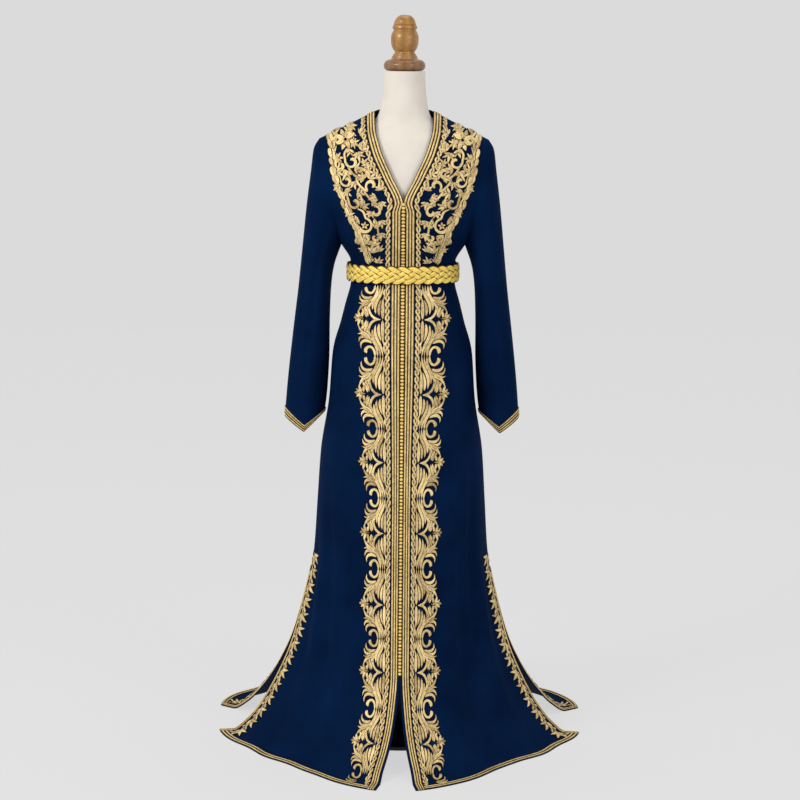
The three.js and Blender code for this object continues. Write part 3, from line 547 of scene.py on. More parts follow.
# %% Cloth walls
def cloth_wall(name, point, out, ring=False):
    """Wall of a grid of outer points and their normals, with uv in mm along the grid's own lengths."""
    inner = point - out * CLOTH * MM
    inner[..., 2] = np.maximum(inner[..., 2], 0.0)
    along = np.r_[0, np.cumsum(np.linalg.norm(np.diff(point[:, point.shape[1] // 2], axis=0), axis=1))]
    across = np.concatenate(
        [np.zeros((len(point), 1)), np.cumsum(np.linalg.norm(np.diff(point, axis=1), axis=2), axis=1)], 1)
    uv = np.stack([across, np.broadcast_to(along[:, None], across.shape)], -1).reshape(-1, 2) / MM
    points, faces = wall_arrays(point, inner, ring)
    return make_piece(name, points, faces, CREPE, np.concatenate([uv, uv]))


def sleeve_way_out(side, angle, row, next_row):
    """Unit normal of the sleeve: the cross product of a step round it and a step down it."""
    round_step = sleeve_point(side, angle + 0.5, row) - sleeve_point(side, angle - 0.5, row)
    down_step = sleeve_point(side, angle, next_row) - sleeve_point(side, angle, row - 0.01)
    normal = np.cross(round_step, down_step) * side
    return normal / np.linalg.norm(normal, axis=-1, keepdims=True)


row_lines = np.r_[np.linspace(0, 8, 100), np.linspace(8, 17, 80)[1:], np.linspace(17, 24, 90)[1:]]
half_across = np.linspace(0, 1, 72)
SIDES = {"left": -1, "right": 1}
panels, areas = {}, {}
for name, side in SIDES.items():
    a, r = np.meshgrid(half_across, row_lines)
    grid = front_point(side, a, r)
    normal = way_out(front_point, side, a, r, -1)
    normal[r >= FLOOR] = (0, 0, 1)
    panels[f"front_panel_{name}"] = cloth_wall(f"front_{name}", grid, normal)
    areas[f"front_panel_{name}"] = surface_area(grid)
parts_of_back = []
for side in (-1, 1):
    a, r = np.meshgrid(half_across if side > 0 else half_across[:0:-1], row_lines)
    normal = way_out(back_point, side, a, r, 1)
    normal[r >= FLOOR] = (0, 0, 1)
    parts_of_back.append((back_point(side, a, r), normal))
back_grid, back_normal = (np.concatenate(halves, 1) for halves in zip(*parts_of_back))
panels["back_panel"] = cloth_wall("back", back_grid, back_normal)
areas["back_panel"] = surface_area(back_grid)
for name, side in SIDES.items():
    angle, r = np.meshgrid(np.arange(0, 360, 4.0), np.linspace(0.015, SLEEVE_END, 130))
    grid = sleeve_point(side, angle, r)
    normal = sleeve_way_out(side, angle, r, np.minimum(r + 0.01, SLEEVE_END))
    panels[f"sleeve_{name}"] = cloth_wall(f"sleeve_cloth_{name}", grid, normal, ring=True)
    areas[f"sleeve_{name}"] = surface_area(grid, ring=True)
for node_name, piece in panels.items():
    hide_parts(node_name)
print("cloth areas, m2:", {k: round(float(v), 3) for k, v in areas.items()})

# %% [markdown]
# ## Measuring on the cloth
# A maker lays braid by measuring in from an edge. The tables below give, for every row of a panel, the
# place across that lies a given number of millimetres from the front edge, so braid and stitches can be
# drawn as flat plans and land on the curved cloth.

# %% Measures on the cloth
MEASURE_ROWS = np.linspace(0, HEM, 481)
MEASURE_ACROSS = np.linspace(0, 1, 161)
MEASURE_STEP = 2.0
MEASURE_MM = np.arange(0, 760, MEASURE_STEP)


class Cloth:
    """One half panel, with its measures from the inner edge and down that edge."""

    def __init__(self, point, side, sign):
        self.point, self.side, self.sign = point, side, sign
        a, r = np.meshgrid(MEASURE_ACROSS, MEASURE_ROWS)
        grid = point(side, a, r) / MM
        steps = np.linalg.norm(np.diff(grid, axis=1), axis=2)
        lengths = np.concatenate([np.zeros((len(r), 1)), np.cumsum(steps, 1)], 1)
        self.width = lengths[:, -1]
        self.across = np.array([np.interp(MEASURE_MM, line, MEASURE_ACROSS) for line in lengths])
        edge = np.linalg.norm(np.diff(grid[:, 0], axis=0), axis=1)
        self.down = np.r_[0, np.cumsum(edge)]
        outer = np.linalg.norm(np.diff(grid[:, -1], axis=0), axis=1)
        self.side_down = np.r_[0, np.cumsum(outer)]

    def across_at(self, distance, row):
        """Across value at a distance in mm from the inner edge: linear between the table's entries."""
        line = np.clip(row / HEM * (len(MEASURE_ROWS) - 1), 0, len(MEASURE_ROWS) - 1.001)
        entry = np.clip(distance / MEASURE_STEP, 0, len(MEASURE_MM) - 1.001)
        i, k = line.astype(int), entry.astype(int)
        down, on = line - i, entry - k
        table = self.across
        near = table[i, k] * (1 - on) + table[i, k + 1] * on
        far = table[i + 1, k] * (1 - on) + table[i + 1, k + 1] * on
        return near * (1 - down) + far * down

    def width_at(self, row):
        """Whole width of a row in mm."""
        return np.interp(row, MEASURE_ROWS, self.width)

    def lay(self, across, row, lift):
        """Point lifted off the cloth by a number of millimetres."""
        normal = way_out(self.point, self.side, across, row, self.sign)
        normal = np.where((row >= FLOOR)[..., None], np.array([0.0, 0.0, 1.0]), normal)
        return self.point(self.side, across, row) + normal * lift[..., None] * MM


fronts = {name: Cloth(front_point, side, -1) for name, side in SIDES.items()}
backs = {name: Cloth(back_point, side, 1) for name, side in SIDES.items()}
NECK_LENGTH = float(np.interp(NECK_POINT, MEASURE_ROWS, fronts["right"].down))
print("neck edge to neck point:", round(NECK_LENGTH), "mm; neck point to hem:",
      round(float(fronts["right"].down[-1]) - NECK_LENGTH), "mm")

# %% [markdown]
# ## Bands, trims and rope
# Sfifa, the flat braid of a kaftan, is several narrow gold braids sewn side by side with dark cloth between.
# Each trim is one strip whose height rises over every braid, so the strip lies on the cloth and its edges
# go down to it. Beside the front band runs a rope of two cords that cross again and again.

# %% Bands and trims
FRONT_EDGE = FRONT_ROWS[:, 2]


def band_scale(row):
    """Scale of the widths: 1 above the hips, 0.8 from the thighs down."""
    return 1 - 0.2 * ramp((1000 - column(FRONT_EDGE, row)) / 450)


def band_start(row):
    """Distance from the front edge to the band: 1 mm at the neck, and clear of the knots below it."""
    return 1 + 5.6 * ramp((1262 - column(FRONT_EDGE, row)) / 22) * band_scale(row)


def braid_heights(places, cords, half_width):
    """Height over the cloth in mm: 0.5 between the braids, a round back of 2.4 on each, 0.3 at the edges."""
    gap = np.abs(places[:, None] - np.array(cords)[None]).min(axis=1)
    heights = 0.5 + 1.9 * np.sqrt(np.clip(1 - (gap / (half_width + 0.4)) ** 2, 0, 1))
    heights[[0, -1]] = 0.3
    return heights


def strip_piece(name, top, bottom, along, places, material, ring=False):
    """Closed strip from two grids of points, with uv x in mm across the trim and uv y in mm along it."""
    uv = np.stack(np.broadcast_arrays(places[None, :], along[:, None]), -1).reshape(-1, 2)
    points, faces = wall_arrays(top, bottom, ring)
    return make_piece(name, points, faces, material, np.concatenate([uv, uv]))


def lengths_along(grid):
    """Length in mm from the first row of a grid, along its middle column."""
    return np.r_[0, np.cumsum(np.linalg.norm(np.diff(grid[:, grid.shape[1] // 2], axis=0), axis=1))] / MM


BAND_PLACES = np.array([0, 0.15, 0.9, 2.4, 3.9, 4.6, 5.8, 7.0, 7.7, 9.2, 10.7, 11.4, 12.6, 13.8, 14.5, 16, 17.5,
                        18.2, 19.2, 20])
EDGE_PLACES = np.array([0, 0.6, 1.8, 2.6, 4.2, 5.8, 6.6, 8.7, 10.8, 11.6, 13.2, 14.7, 15.2, 15.5])
band_rows = np.r_[np.linspace(0, 5, 60), np.linspace(5, 5.6, 20)[1:], np.linspace(5.6, 23, 190)[1:],
                  np.linspace(23, 24, 14)[1:]]
trims = {}
for name, side in SIDES.items():
    cloth = fronts[name]
    d, r = np.meshgrid(BAND_PLACES, band_rows)
    across = cloth.across_at(band_start(r) + d * band_scale(r), r)
    lift = np.broadcast_to(braid_heights(BAND_PLACES, BAND_CORDS, BAND_HALF), across.shape)
    top, bottom = cloth.lay(across, r, lift), cloth.lay(across, r, np.full(across.shape, 0.1))
    trims[f"front_band_{name}"] = strip_piece(
        f"band_{name}", top, bottom, lengths_along(top), BAND_PLACES, BAND_GOLD)
for name, side in SIDES.items():
    for kind, cloth in (("front", fronts[name]), ("back", backs[name])):
        rows = np.r_[np.linspace(17.45, 23, 90), np.linspace(23, 24, 16)[1:]]
        d, r = np.meshgrid(EDGE_PLACES, rows)
        across = cloth.across_at(cloth.width_at(r) - 0.5 - d, r)
        lift = np.broadcast_to(braid_heights(EDGE_PLACES, EDGE_CORDS, EDGE_HALF), across.shape)
        top, bottom = cloth.lay(across, r, lift), cloth.lay(across, r, np.full(across.shape, 0.1))
        trims[f"slit_trim_{kind}_{name}"] = strip_piece(
            f"slit_edge_{kind}_{name}", top, bottom, lengths_along(top), EDGE_PLACES, EDGE_GOLD)
print("bands and slit trims:", len(trims))

# %% Hem and cuff trims
def row_up(cloth, across, distance):
    """Row at a distance in mm up from the hem, at an across value, by walking up the hem's last rows."""
    rows = np.linspace(HEM, HEM - 2.5, 60)
    a, r = np.meshgrid(across, rows)
    walked = np.cumsum(np.linalg.norm(np.diff(cloth.point(cloth.side, a, r), axis=0), axis=2), 0) / MM
    walked = np.concatenate([np.zeros((1, len(across))), walked])
    return np.stack([np.interp(distance, walked[:, k], rows) for k in range(len(across))], 1)


def hem_strip(cloth, across):
    """Top and bottom grids of the hem trim along the given across values."""
    r = row_up(cloth, across, 0.5 + EDGE_PLACES)
    a = np.broadcast_to(across, r.shape)
    lift = np.broadcast_to(braid_heights(EDGE_PLACES, EDGE_CORDS, EDGE_HALF)[:, None], r.shape)
    return cloth.lay(a, r, lift), cloth.lay(a, r, np.full(r.shape, 0.1))


for name, side in SIDES.items():
    cloth = fronts[name]
    end_row = np.array([HEM - 0.1])
    first = cloth.across_at(band_start(end_row) + 20.4 * band_scale(end_row), end_row)[0]
    last = cloth.across_at(cloth.width_at(end_row) - 16.6, end_row)[0]
    top, bottom = hem_strip(cloth, np.linspace(first, last, 120))
    top, bottom = top.swapaxes(0, 1), bottom.swapaxes(0, 1)
    trims[f"hem_trim_front_{name}"] = strip_piece(
        f"hem_edge_front_{name}", top, bottom, lengths_along(top), EDGE_PLACES, EDGE_GOLD)
hem_parts = []
for side, cloth in ((-1, backs["left"]), (1, backs["right"])):
    end_row = np.array([HEM - 0.1])
    last = cloth.across_at(cloth.width_at(end_row) - 16.6, end_row)[0]
    across = np.linspace(0, last, 110)
    hem_parts.append(hem_strip(cloth, across if side > 0 else across[:0:-1]))
top, bottom = (np.concatenate([hem_parts[0][k], hem_parts[1][k]], 1).swapaxes(0, 1) for k in range(2))
trims["hem_trim_back"] = strip_piece("hem_edge_back", top, bottom, lengths_along(top), EDGE_PLACES, EDGE_GOLD)

CUFF_PLACES = np.array([0, 0.6, 1.6, 2.2, 3.8, 5.4, 6.0, 7.3, 7.9, 9.5, 11.1, 11.7, 13.1, 13.7, 14.9, 16.1, 16.7, 17.4])
CUFF_CORDS, CUFF_HALF = (3.8, 9.5, 14.9), 1.25
CUFF_EDGE_ROW, CUFF_ROWS, CUFF_MM_A_DEGREE = 8.99, 0.27, 2.2
CUFF_GOLD = trim_material("cuff gold", CUFF_CORDS, CUFF_HALF)
for name, side in SIDES.items():
    angle, d = np.meshgrid(np.arange(0, 360, 3.0), CUFF_PLACES)
    r = CUFF_EDGE_ROW - d / CUFF_PLACES[-1] * CUFF_ROWS
    lift = np.broadcast_to(braid_heights(CUFF_PLACES, CUFF_CORDS, CUFF_HALF)[:, None], r.shape)
    point = sleeve_point(side, angle, r)
    normal = sleeve_way_out(side, angle, r, r)
    top, bottom = point + normal * lift[..., None] * MM, point + normal * 0.1 * MM
    places = np.broadcast_to(CUFF_PLACES[:, None], r.shape)
    along = np.broadcast_to((angle * 2.2), r.shape)
    uv = np.stack([places, along], -1).reshape(-1, 2)
    points, faces = wall_arrays(top, bottom, ring=True)
    trims[f"cuff_trim_{name}"] = make_piece(
        f"cuff_edge_{name}", points, faces, CUFF_GOLD, np.concatenate([uv, uv]))
for node_name, piece in trims.items():
    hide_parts(node_name)
print("trims in all:", len(trims))

# %% Back neck band
NECK_STEPS = np.linspace(-90, 90, 90)


def back_place(x, y):
    """Across and row of the back panel under a place in plan near the neck, found by halving 30 times."""
    low, high = np.zeros(x.shape), np.full(x.shape, 3.0)

    def across_for(row):
        outer = armhole_point(column(ARMHOLE_ANGLES, np.maximum(row, 1)), 1)[0]
        reach = np.where(row < 1, ARMHOLE_TOP[0] + (outer - ARMHOLE_TOP[0]) * row, outer)
        return np.arcsin(np.clip(np.abs(x) / reach, 0, 1)) / (np.pi / 2)

    for _ in range(30):
        middle = (low + high) / 2
        short = back_point(1, across_for(middle), middle)[..., 1] / MM < y
        low, high = np.where(short, middle, low), np.where(short, high, middle)
    return across_for(low), low


turn, reach = np.meshgrid(np.radians(NECK_STEPS), np.linspace(0.6, 26, 60), indexing="ij")
walk_x = (NECK_SIDE[0] + reach) * np.sin(turn)
walk_y = (NECK_BACK[0] + reach) * np.cos(turn)
a, r = back_place(walk_x, walk_y)
mirror = np.where(walk_x < 0, -1.0, 1.0)[..., None]
walk = back_point(1, a, r) * np.concatenate([mirror, np.ones_like(mirror), np.ones_like(mirror)], -1)
walked = np.cumsum(np.linalg.norm(np.diff(walk, axis=1), axis=2), 1) / MM
walked = np.concatenate([np.zeros((len(walked), 1)), walked], 1)
pick = np.stack([np.interp(BAND_PLACES, walked[k], np.arange(60)) for k in range(len(walked))])
low = np.clip(pick.astype(int), 0, 58)
part = (pick - low)[..., None]
line = np.arange(len(walked))[:, None]
neck_points = walk[line, low] * (1 - part) + walk[line, low + 1] * part
tangent_a = np.gradient(neck_points, axis=0)
tangent_b = np.gradient(neck_points, axis=1)
neck_normal = np.cross(tangent_a, tangent_b)
neck_normal /= np.linalg.norm(neck_normal, axis=-1, keepdims=True)
neck_normal *= np.where(neck_normal[..., 2:3] < 0, -1, 1)
lift = (1.2 + braid_heights(BAND_PLACES, BAND_CORDS, BAND_HALF))[None, :, None] * MM
top, bottom = neck_points + neck_normal * lift, neck_points + neck_normal * 1.2 * MM
neck_band = strip_piece("band_neck_back", top, bottom, lengths_along(top), BAND_PLACES, BAND_GOLD)
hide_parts("neck_band_back")
print("back neck band, mm:", round(float(lengths_along(top)[-1])))

# %% [markdown]
# ## Knots and rope
# The closing of a kaftan is a row of small silk knots, the aakad, each about a centimetre wide. Here each
# knot is a low dome of five rings, repeated down the front from the neck point to the top of the slit. The
# rope beside the bands is two cords whose paths are sine waves that cross, one passing over the other.

# %% Cords on cloth
CORD_RING = np.array([-1, -0.6, 0, 0.6, 1, 1, 0, -1])
CORD_HEIGHTS = np.array([0.5, 0.88, 1, 0.88, 0.5, 0, 0, 0])
LEAF_HEIGHTS = np.array([0.6, 1, 0.72, 1, 0.6, 0, 0, 0])
RING_CAP = np.array([[0, 1, 2, 3], [0, 3, 4, 7], [4, 5, 6, 7]])


def ribbons(name, lay, path, half, heights, lift, material, shade):
    """Raised cords or leaves sewn on cloth, all in one mesh. path is (ribbon, step, 2) in plan millimetres,
    half the half width and lift the height at each step. Each cross-section is a ring of eight points: five
    over the top that follow heights, and three along the underside, just off the cloth."""
    tangent = np.gradient(path, axis=1)
    tangent /= np.maximum(np.linalg.norm(tangent, axis=-1, keepdims=True), 1e-9)
    sideways = np.stack([-tangent[..., 1], tangent[..., 0]], -1)
    plan = path[:, :, None, :] + sideways[:, :, None, :] * (half[:, :, None] * CORD_RING)[..., None]
    points = lay(plan[..., 0], plan[..., 1], SEWN_GAP + lift[:, :, None] * heights)
    count, steps, wide = plan.shape[:3]
    lengths = np.linalg.norm(np.diff(path, axis=1), axis=2)
    along = np.concatenate([np.zeros((count, 1)), np.cumsum(lengths, 1)], 1)
    uv = np.stack(np.broadcast_arrays(CORD_RING, along[:, :, None]), -1).reshape(-1, 2)
    one, _ = grid_faces(steps, wide, ring=True)
    one = np.concatenate([one, RING_CAP[:, ::-1], RING_CAP + (steps - 1) * wide])
    faces = np.repeat(one[None], count, axis=0)
    p = points.reshape(count, steps * wide, 3)
    middle = (steps // 2) * wide
    test = one[middle + 1]
    cross = np.cross(p[:, test[1]] - p[:, test[0]], p[:, test[2]] - p[:, test[0]])
    flip = np.einsum("ij,ij->i", cross, p[:, middle + 2] - p[:, middle + 6]) < 0
    faces[flip] = faces[flip][:, :, ::-1]
    faces = (faces + (np.arange(count) * steps * wide)[:, None, None]).reshape(-1, 4)
    shades = np.repeat(shade, steps * wide)
    return make_piece(name, points.reshape(-1, 3), faces, material, uv, shades, sharp=0, turned_out=True)


# %% Rope
sewn = {name: {} for name in SIDES}
ROPE_PITCH = 15.5
BELT_ROW = 9.0
edge_start = {name: float(np.interp(BELT_ROW, MEASURE_ROWS, cloth.down)) for name, cloth in fronts.items()}


def front_lay(cloth, name):
    """Turns plan millimetres (across from the front edge, down from the belt) into points on the cloth."""
    def lay(a, b, rise):
        row = np.interp(b + edge_start[name], cloth.down, MEASURE_ROWS)
        row = np.minimum(row, HEM)
        return cloth.lay(cloth.across_at(a * band_scale(row), row), row, rise)
    return lay


ropes = {}
for name, cloth in fronts.items():
    top_b, hem_b = 2 - edge_start[name], cloth.down[-1] - edge_start[name] - 17
    b = np.arange(top_b, hem_b, 2.2)
    row = np.interp(b + edge_start[name], cloth.down, MEASURE_ROWS)
    middle = band_start(row) / band_scale(row) + 21.5 + 6.25
    phase = b / ROPE_PITCH
    path = np.stack([np.stack([middle + s * 3.5 * np.sin(np.pi * phase), b], -1) for s in (1, -1)])
    over = np.stack([2.2 + 1.2 * s * np.cos(np.pi * phase) for s in (1, -1)])
    half = np.full(path.shape[:2], 2.9)
    ropes[f"rope_braid_{name}"] = ribbons(
        f"rope_{name}", front_lay(cloth, name), path, half, CORD_HEIGHTS, over, EMBROIDERY_GOLD,
        np.array([0.55, 0.4]))
for node_name, piece in ropes.items():
    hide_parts(node_name)
print("rope crossings a side:", int((hem_b - top_b) / ROPE_PITCH))

# %% Knots
knot_b = np.arange(-166.0, 914.0, 8.0)
ring_angle = np.linspace(0, 2 * np.pi, 12, endpoint=False)
ring_size = np.array([1.0, 0.96, 0.8, 0.5, 0.12])
ring_rise = np.array([0.0, 0.42, 0.78, 0.97, 1.0])


def across_centre(x, b, rise):
    """Lays plan points on the front panel of their side: x is mm from the centre line, right being plus."""
    right = front_lay(fronts["right"], "right")(np.abs(x), b, rise)
    left = front_lay(fronts["left"], "left")(np.abs(x), b, rise)
    return np.where((x > 0)[..., None], right, left)


b, size, angle = np.meshgrid(knot_b, ring_size, ring_angle, indexing="ij")
rise = np.broadcast_to(ring_rise[None, :, None], size.shape)
x = 5.4 * size * np.cos(angle)
y = 4.25 * size * np.sin(angle)
knot_points = across_centre(x, b + y, 0.3 + 3.6 * rise)
cells = len(ring_size) * len(ring_angle)
one, _ = grid_faces(len(ring_size), len(ring_angle), ring=True)
base_ring = np.arange(len(ring_angle))
cap_top = (len(ring_size) - 1) * len(ring_angle) + base_ring
caps = np.array([[base_ring[k], base_ring[(k + 1) % 12], base_ring[(11 - k) % 12], base_ring[(12 - k) % 12]]
                 for k in range(1, 6)])
top_caps = caps + (len(ring_size) - 1) * len(ring_angle)
one = np.concatenate([one, caps[:, ::-1], top_caps])
knot_faces = (one[None] + (np.arange(len(knot_b)) * cells)[:, None, None]).reshape(-1, 4)
# uv x follows the ring size, so the lower rings of each knot take the painted edge shade, near-black brown where the
# dome meets the cloth.
knot_uv = np.stack([size * 0.96, 3 * angle], -1).reshape(-1, 2)
knot_shade = np.repeat(0.55 + 0.12 * np.sin(np.arange(len(knot_b)) * 2.4), cells)
knots = make_piece("knots", knot_points.reshape(-1, 3), knot_faces, KNOT_GOLD, knot_uv, knot_shade,
                   sharp=0)
under_b = np.arange(-169.0, 912.0, 6.0)
under_x = np.array([-5.9, -5.2, 5.2, 5.9])
x, b = np.meshgrid(under_x, under_b)
under_top = across_centre(x, b, np.broadcast_to([0.15, 0.6, 0.6, 0.15], x.shape))
under_bottom = across_centre(x, b, np.full(x.shape, 0.1))
points, faces = wall_arrays(under_top, under_bottom)
KNOT_TAPE = gold_material("knot tape", (0.02, 0.012, 0.008), (0.12, 0.06, 0.02), 1.0, 2.0)
knot_tape = make_piece("knot_tape", points, faces, KNOT_TAPE,
                       np.concatenate([np.stack([x * 0, b], -1).reshape(-1, 2)] * 2))
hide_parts("button_strip")
print("knots:", len(knot_b))

# %% [markdown]
# ## Embroidery of the skirt
# The gold border is cord couched by hand: every leaf is a closed loop of cord filled with thread, with a
# painted shade of near-black brown where its edge meets the cloth. The plan of half a repeat is a table of
# strokes in millimetres; it is mirrored up and down, repeated to the hem, and laid on the cloth.

# %% Strokes
def smooth_paths(strokes, steps):
    """Curves through control points, as many points each: a Catmull-Rom spline, which leaves every point
    along the line between its neighbours, then evened out along its length."""
    made = []
    for line in strokes:
        p = np.array(line, float)
        p = np.vstack([2 * p[0] - p[1], p, 2 * p[-1] - p[-2]])
        t = np.linspace(0, len(p) - 3 - 1e-6, 90)
        i, f = t.astype(int), (t % 1)[:, None]
        a, b, c, d = p[i], p[i + 1], p[i + 2], p[i + 3]
        q = 0.5 * (2 * b + (c - a) * f + (2 * a - 5 * b + 4 * c - d) * f ** 2
                   + (3 * b - a - 3 * c + d) * f ** 3)
        length = np.r_[0, np.cumsum(np.linalg.norm(np.diff(q, axis=0), axis=1))]
        even = np.linspace(0, length[-1], steps)
        made.append(np.stack([np.interp(even, length, q[:, k]) for k in range(2)], -1))
    return np.array(made)


def widths(kinds, full, steps):
    """Half width along a stroke: leaf swells to 40% of its way and ends in a point, drop swells towards its
    end, band is even with short points, curl starts thin and ends in a round blob."""
    t = np.linspace(0, 1, steps)
    shapes = {
        "leaf": np.sin(np.pi * t ** 0.75) ** 0.8,
        "drop": np.sin(np.pi * t ** 1.7) ** 0.7,
        "band": np.clip(np.minimum(t, 1 - t) * 9, 0, 1) ** 0.5,
        "curl": np.clip(t * 6, 0, 1) ** 0.5 * (0.62 + 0.38 * ramp((t - 0.6) / 0.25)) * np.clip((1 - t) * 14, 0, 1) ** 0.5}
    return np.array([shapes[k] for k in kinds]) * np.array(full)[:, None] + 0.25


def drawn(lines, steps, wider=1.0):
    """Paths and half widths of strokes given as kind, half width and points."""
    return (smooth_paths([line[2] for line in lines], steps),
            widths([line[0] for line in lines], [line[1] * wider for line in lines], steps))


def stroke_lift(half):
    """Height of strokes: half their half width up to 1.6 mm, and one of seven layers, so that strokes that
    cross stay apart."""
    layer = 0.6 + 0.33 * ((np.arange(len(half)) * 3) % 7)
    return np.minimum(half * 0.5, 1.6) + layer[:, None]


# One line a stroke: kind, half width, then points as mm across from the front edge and mm down from
# the flower.
BORDER = [
    ("leaf", 5.4, [(103, 0), (112, 0), (122, 0)]), ("leaf", 4.6, [(99, 2), (104, 9), (107, 18)]),
    ("leaf", 4.2, [(94, 3), (94, 10), (90, 17)]), ("leaf", 3.8, [(102, 1), (110, 5), (116, 9)]),
    ("drop", 3.4, [(90, 0), (98, 0), (104, 0)]),
    ("leaf", 4.2, [(84, 3), (87, 12), (94, 20), (96, 31)]), ("leaf", 3.6, [(80, 5), (82, 15), (87, 24), (86, 35)]),
    ("leaf", 5.4, [(45, 1), (45, 18), (45, 34), (44, 52)]),
    ("leaf", 4.2, [(53, 9), (54, 24), (52, 36), (48, 47)]),
    ("leaf", 4.6, [(61, 12), (62, 28), (58, 42), (51, 55), (46, 68), (44, 82)]),
    ("leaf", 4.6, [(69, 22), (68, 35), (61, 47), (55, 59), (51, 71), (51, 82)]),
    ("leaf", 5.2, [(72, 45), (82, 36), (93, 31), (103, 20), (105, 13)]),
    ("leaf", 3.8, [(76, 40), (84, 31), (89, 21), (87, 11)]),
    ("leaf", 3.8, [(70, 40), (76, 32), (81, 24), (80, 16)]),
    ("leaf", 5.2, [(68, 50), (79, 43), (92, 40), (102, 45), (105, 54)]),
    ("leaf", 4.4, [(69, 53), (80, 49), (91, 50), (98, 57), (98, 67)]),
    ("leaf", 3.2, [(76, 45), (86, 38), (97, 34), (107, 36)]),
    ("band", 3.6, [(49, 0), (60, 1), (69, 6), (76, 16), (78, 28), (73, 40), (64, 52), (58, 66), (57, 82)]),
    ("leaf", 3.2, [(40, 55), (42, 64), (39, 74)]), ("drop", 2.8, [(43, 46), (41, 53), (39, 58)]),
    ("curl", 5.6, [(63, 82), (63.5, 72), (68, 64), (75, 61), (82, 64), (86, 70), (84, 76)]),
]
FLOWERS_DOWN = np.array([-55, 105, 275, 429, 590, 752, 905, 1071, 1231.0])
FLOWER_PITCH = 160.0
half_cell, half_width = drawn(BORDER, 14)
cell = np.concatenate([half_cell, half_cell * [1, -1]])
cell_width = np.concatenate([half_width] * 2)
for name, cloth in fronts.items():
    hem_b = cloth.down[-1] - edge_start[name] - 17.5
    path = np.concatenate([cell + [0, FLOWER_PITCH * k] for k in range(len(FLOWERS_DOWN))])
    path[..., 1] = np.interp(path[..., 1], FLOWER_PITCH * np.arange(len(FLOWERS_DOWN)), FLOWERS_DOWN)
    half = np.concatenate([cell_width] * len(FLOWERS_DOWN))
    keep = (path[..., 1].max(axis=1) < hem_b) & (path[..., 1].min(axis=1) > 18)
    path, half = path[keep], half[keep]
    order = np.arange(len(path))
    shade = 0.5 + 0.3 * np.sin(order * 1.7) + 0.12 * np.sin(order * 0.37)
    sewn[name]["border"] = ribbons(f"border_{name}", front_lay(cloth, name), path, half, LEAF_HEIGHTS,
                                   stroke_lift(half), EMBROIDERY_GOLD, shade)
    print("border strokes", name, len(path), "quads", len(sewn[name]["border"].data.polygons))

# %% [markdown]
# ## Embroidery of the chest
# Each half of the chest carries scrolls and acanthus leaves that fall from the shoulder to the belt. They
# are drawn as seen from the front, in millimetres from the centre line and up from the belt, and each point
# is then found on the cloth by Newton's method.

# %% Chest plan
def place_from_front(side, x, z):
    """Across and row of the front panel seen at x, z: twelve Newton steps on the two slopes."""
    across = np.clip(x / 190, 0.02, 0.98)
    row = np.clip((1461 - z) / 40, 0.02, 8.5)
    for _ in range(12):
        here = front_point(side, across, row) / MM
        da = front_point(side, across + 0.002, row) / MM - here
        dr = front_point(side, across, row + 0.01) / MM - here
        da, dr = da / 0.002, dr / 0.01
        ex, ez = side * x - here[..., 0], z - here[..., 2]
        base = da[..., 0] * dr[..., 2] - da[..., 2] * dr[..., 0]
        base = np.where(np.abs(base) < 1e-6, 1e-6, base)
        across = np.clip(across + np.clip((ex * dr[..., 2] - ez * dr[..., 0]) / base, -0.1, 0.1), 0.0, 0.997)
        row = np.clip(row + np.clip((da[..., 0] * ez - da[..., 2] * ex) / base, -1.0, 1.0), 0.0, 9.5)
    return across, row


def chest_lay(cloth):
    """Lays frontal millimetres on the front panel."""
    def lay(x, z, rise):
        across, row = place_from_front(cloth.side, x, z)
        return cloth.lay(across, row, rise)
    return lay


def scroll(cx, cz, radius, start, turns, end=0.28):
    """Spiral that starts at an angle in degrees and closes in from its radius to a part of it."""
    t = np.linspace(0, 1, 16)
    angle = np.radians(start) + 2 * np.pi * turns * t
    r = radius * (1 - (1 - end) * t ** 0.8)
    return np.stack([cx + r * np.cos(angle), cz + r * np.sin(angle)], -1)


def leaf(x, z, angle, length, bend=0.25):
    """Leaf line from its foot at x, z: it leaves at an angle in degrees and bends by a part of its length."""
    t = np.linspace(0, 1, 6)
    turn = np.radians(angle)
    along, aside = length * t, bend * length * t ** 2
    return np.stack([x + along * np.cos(turn) - aside * np.sin(turn), z + along * np.sin(turn) + aside * np.cos(turn)], -1)


def rosette(x, z, radius, petals, turn=0):
    """Petals round a middle, as leaf lines."""
    return [("leaf", radius * 0.26, leaf(x + 0.15 * radius * np.cos(np.radians(a)),
                                         z + 0.15 * radius * np.sin(np.radians(a)), a, radius, 0.12))
            for a in turn + np.arange(petals) * 360 / petals]


def acanthus(x, z, angle, length, width=3.2):
    """A leaf of five lobes: a long middle one and two shorter ones on each side that curl away."""
    lobes = [(0, 1.0, 0.1), (24, 0.8, 0.35), (-24, 0.8, -0.35), (48, 0.55, 0.5), (-48, 0.55, -0.5)]
    return [("leaf", width * (0.85 if turn else 1), leaf(x, z, angle + turn, length * part, bend))
            for turn, part, bend in lobes]


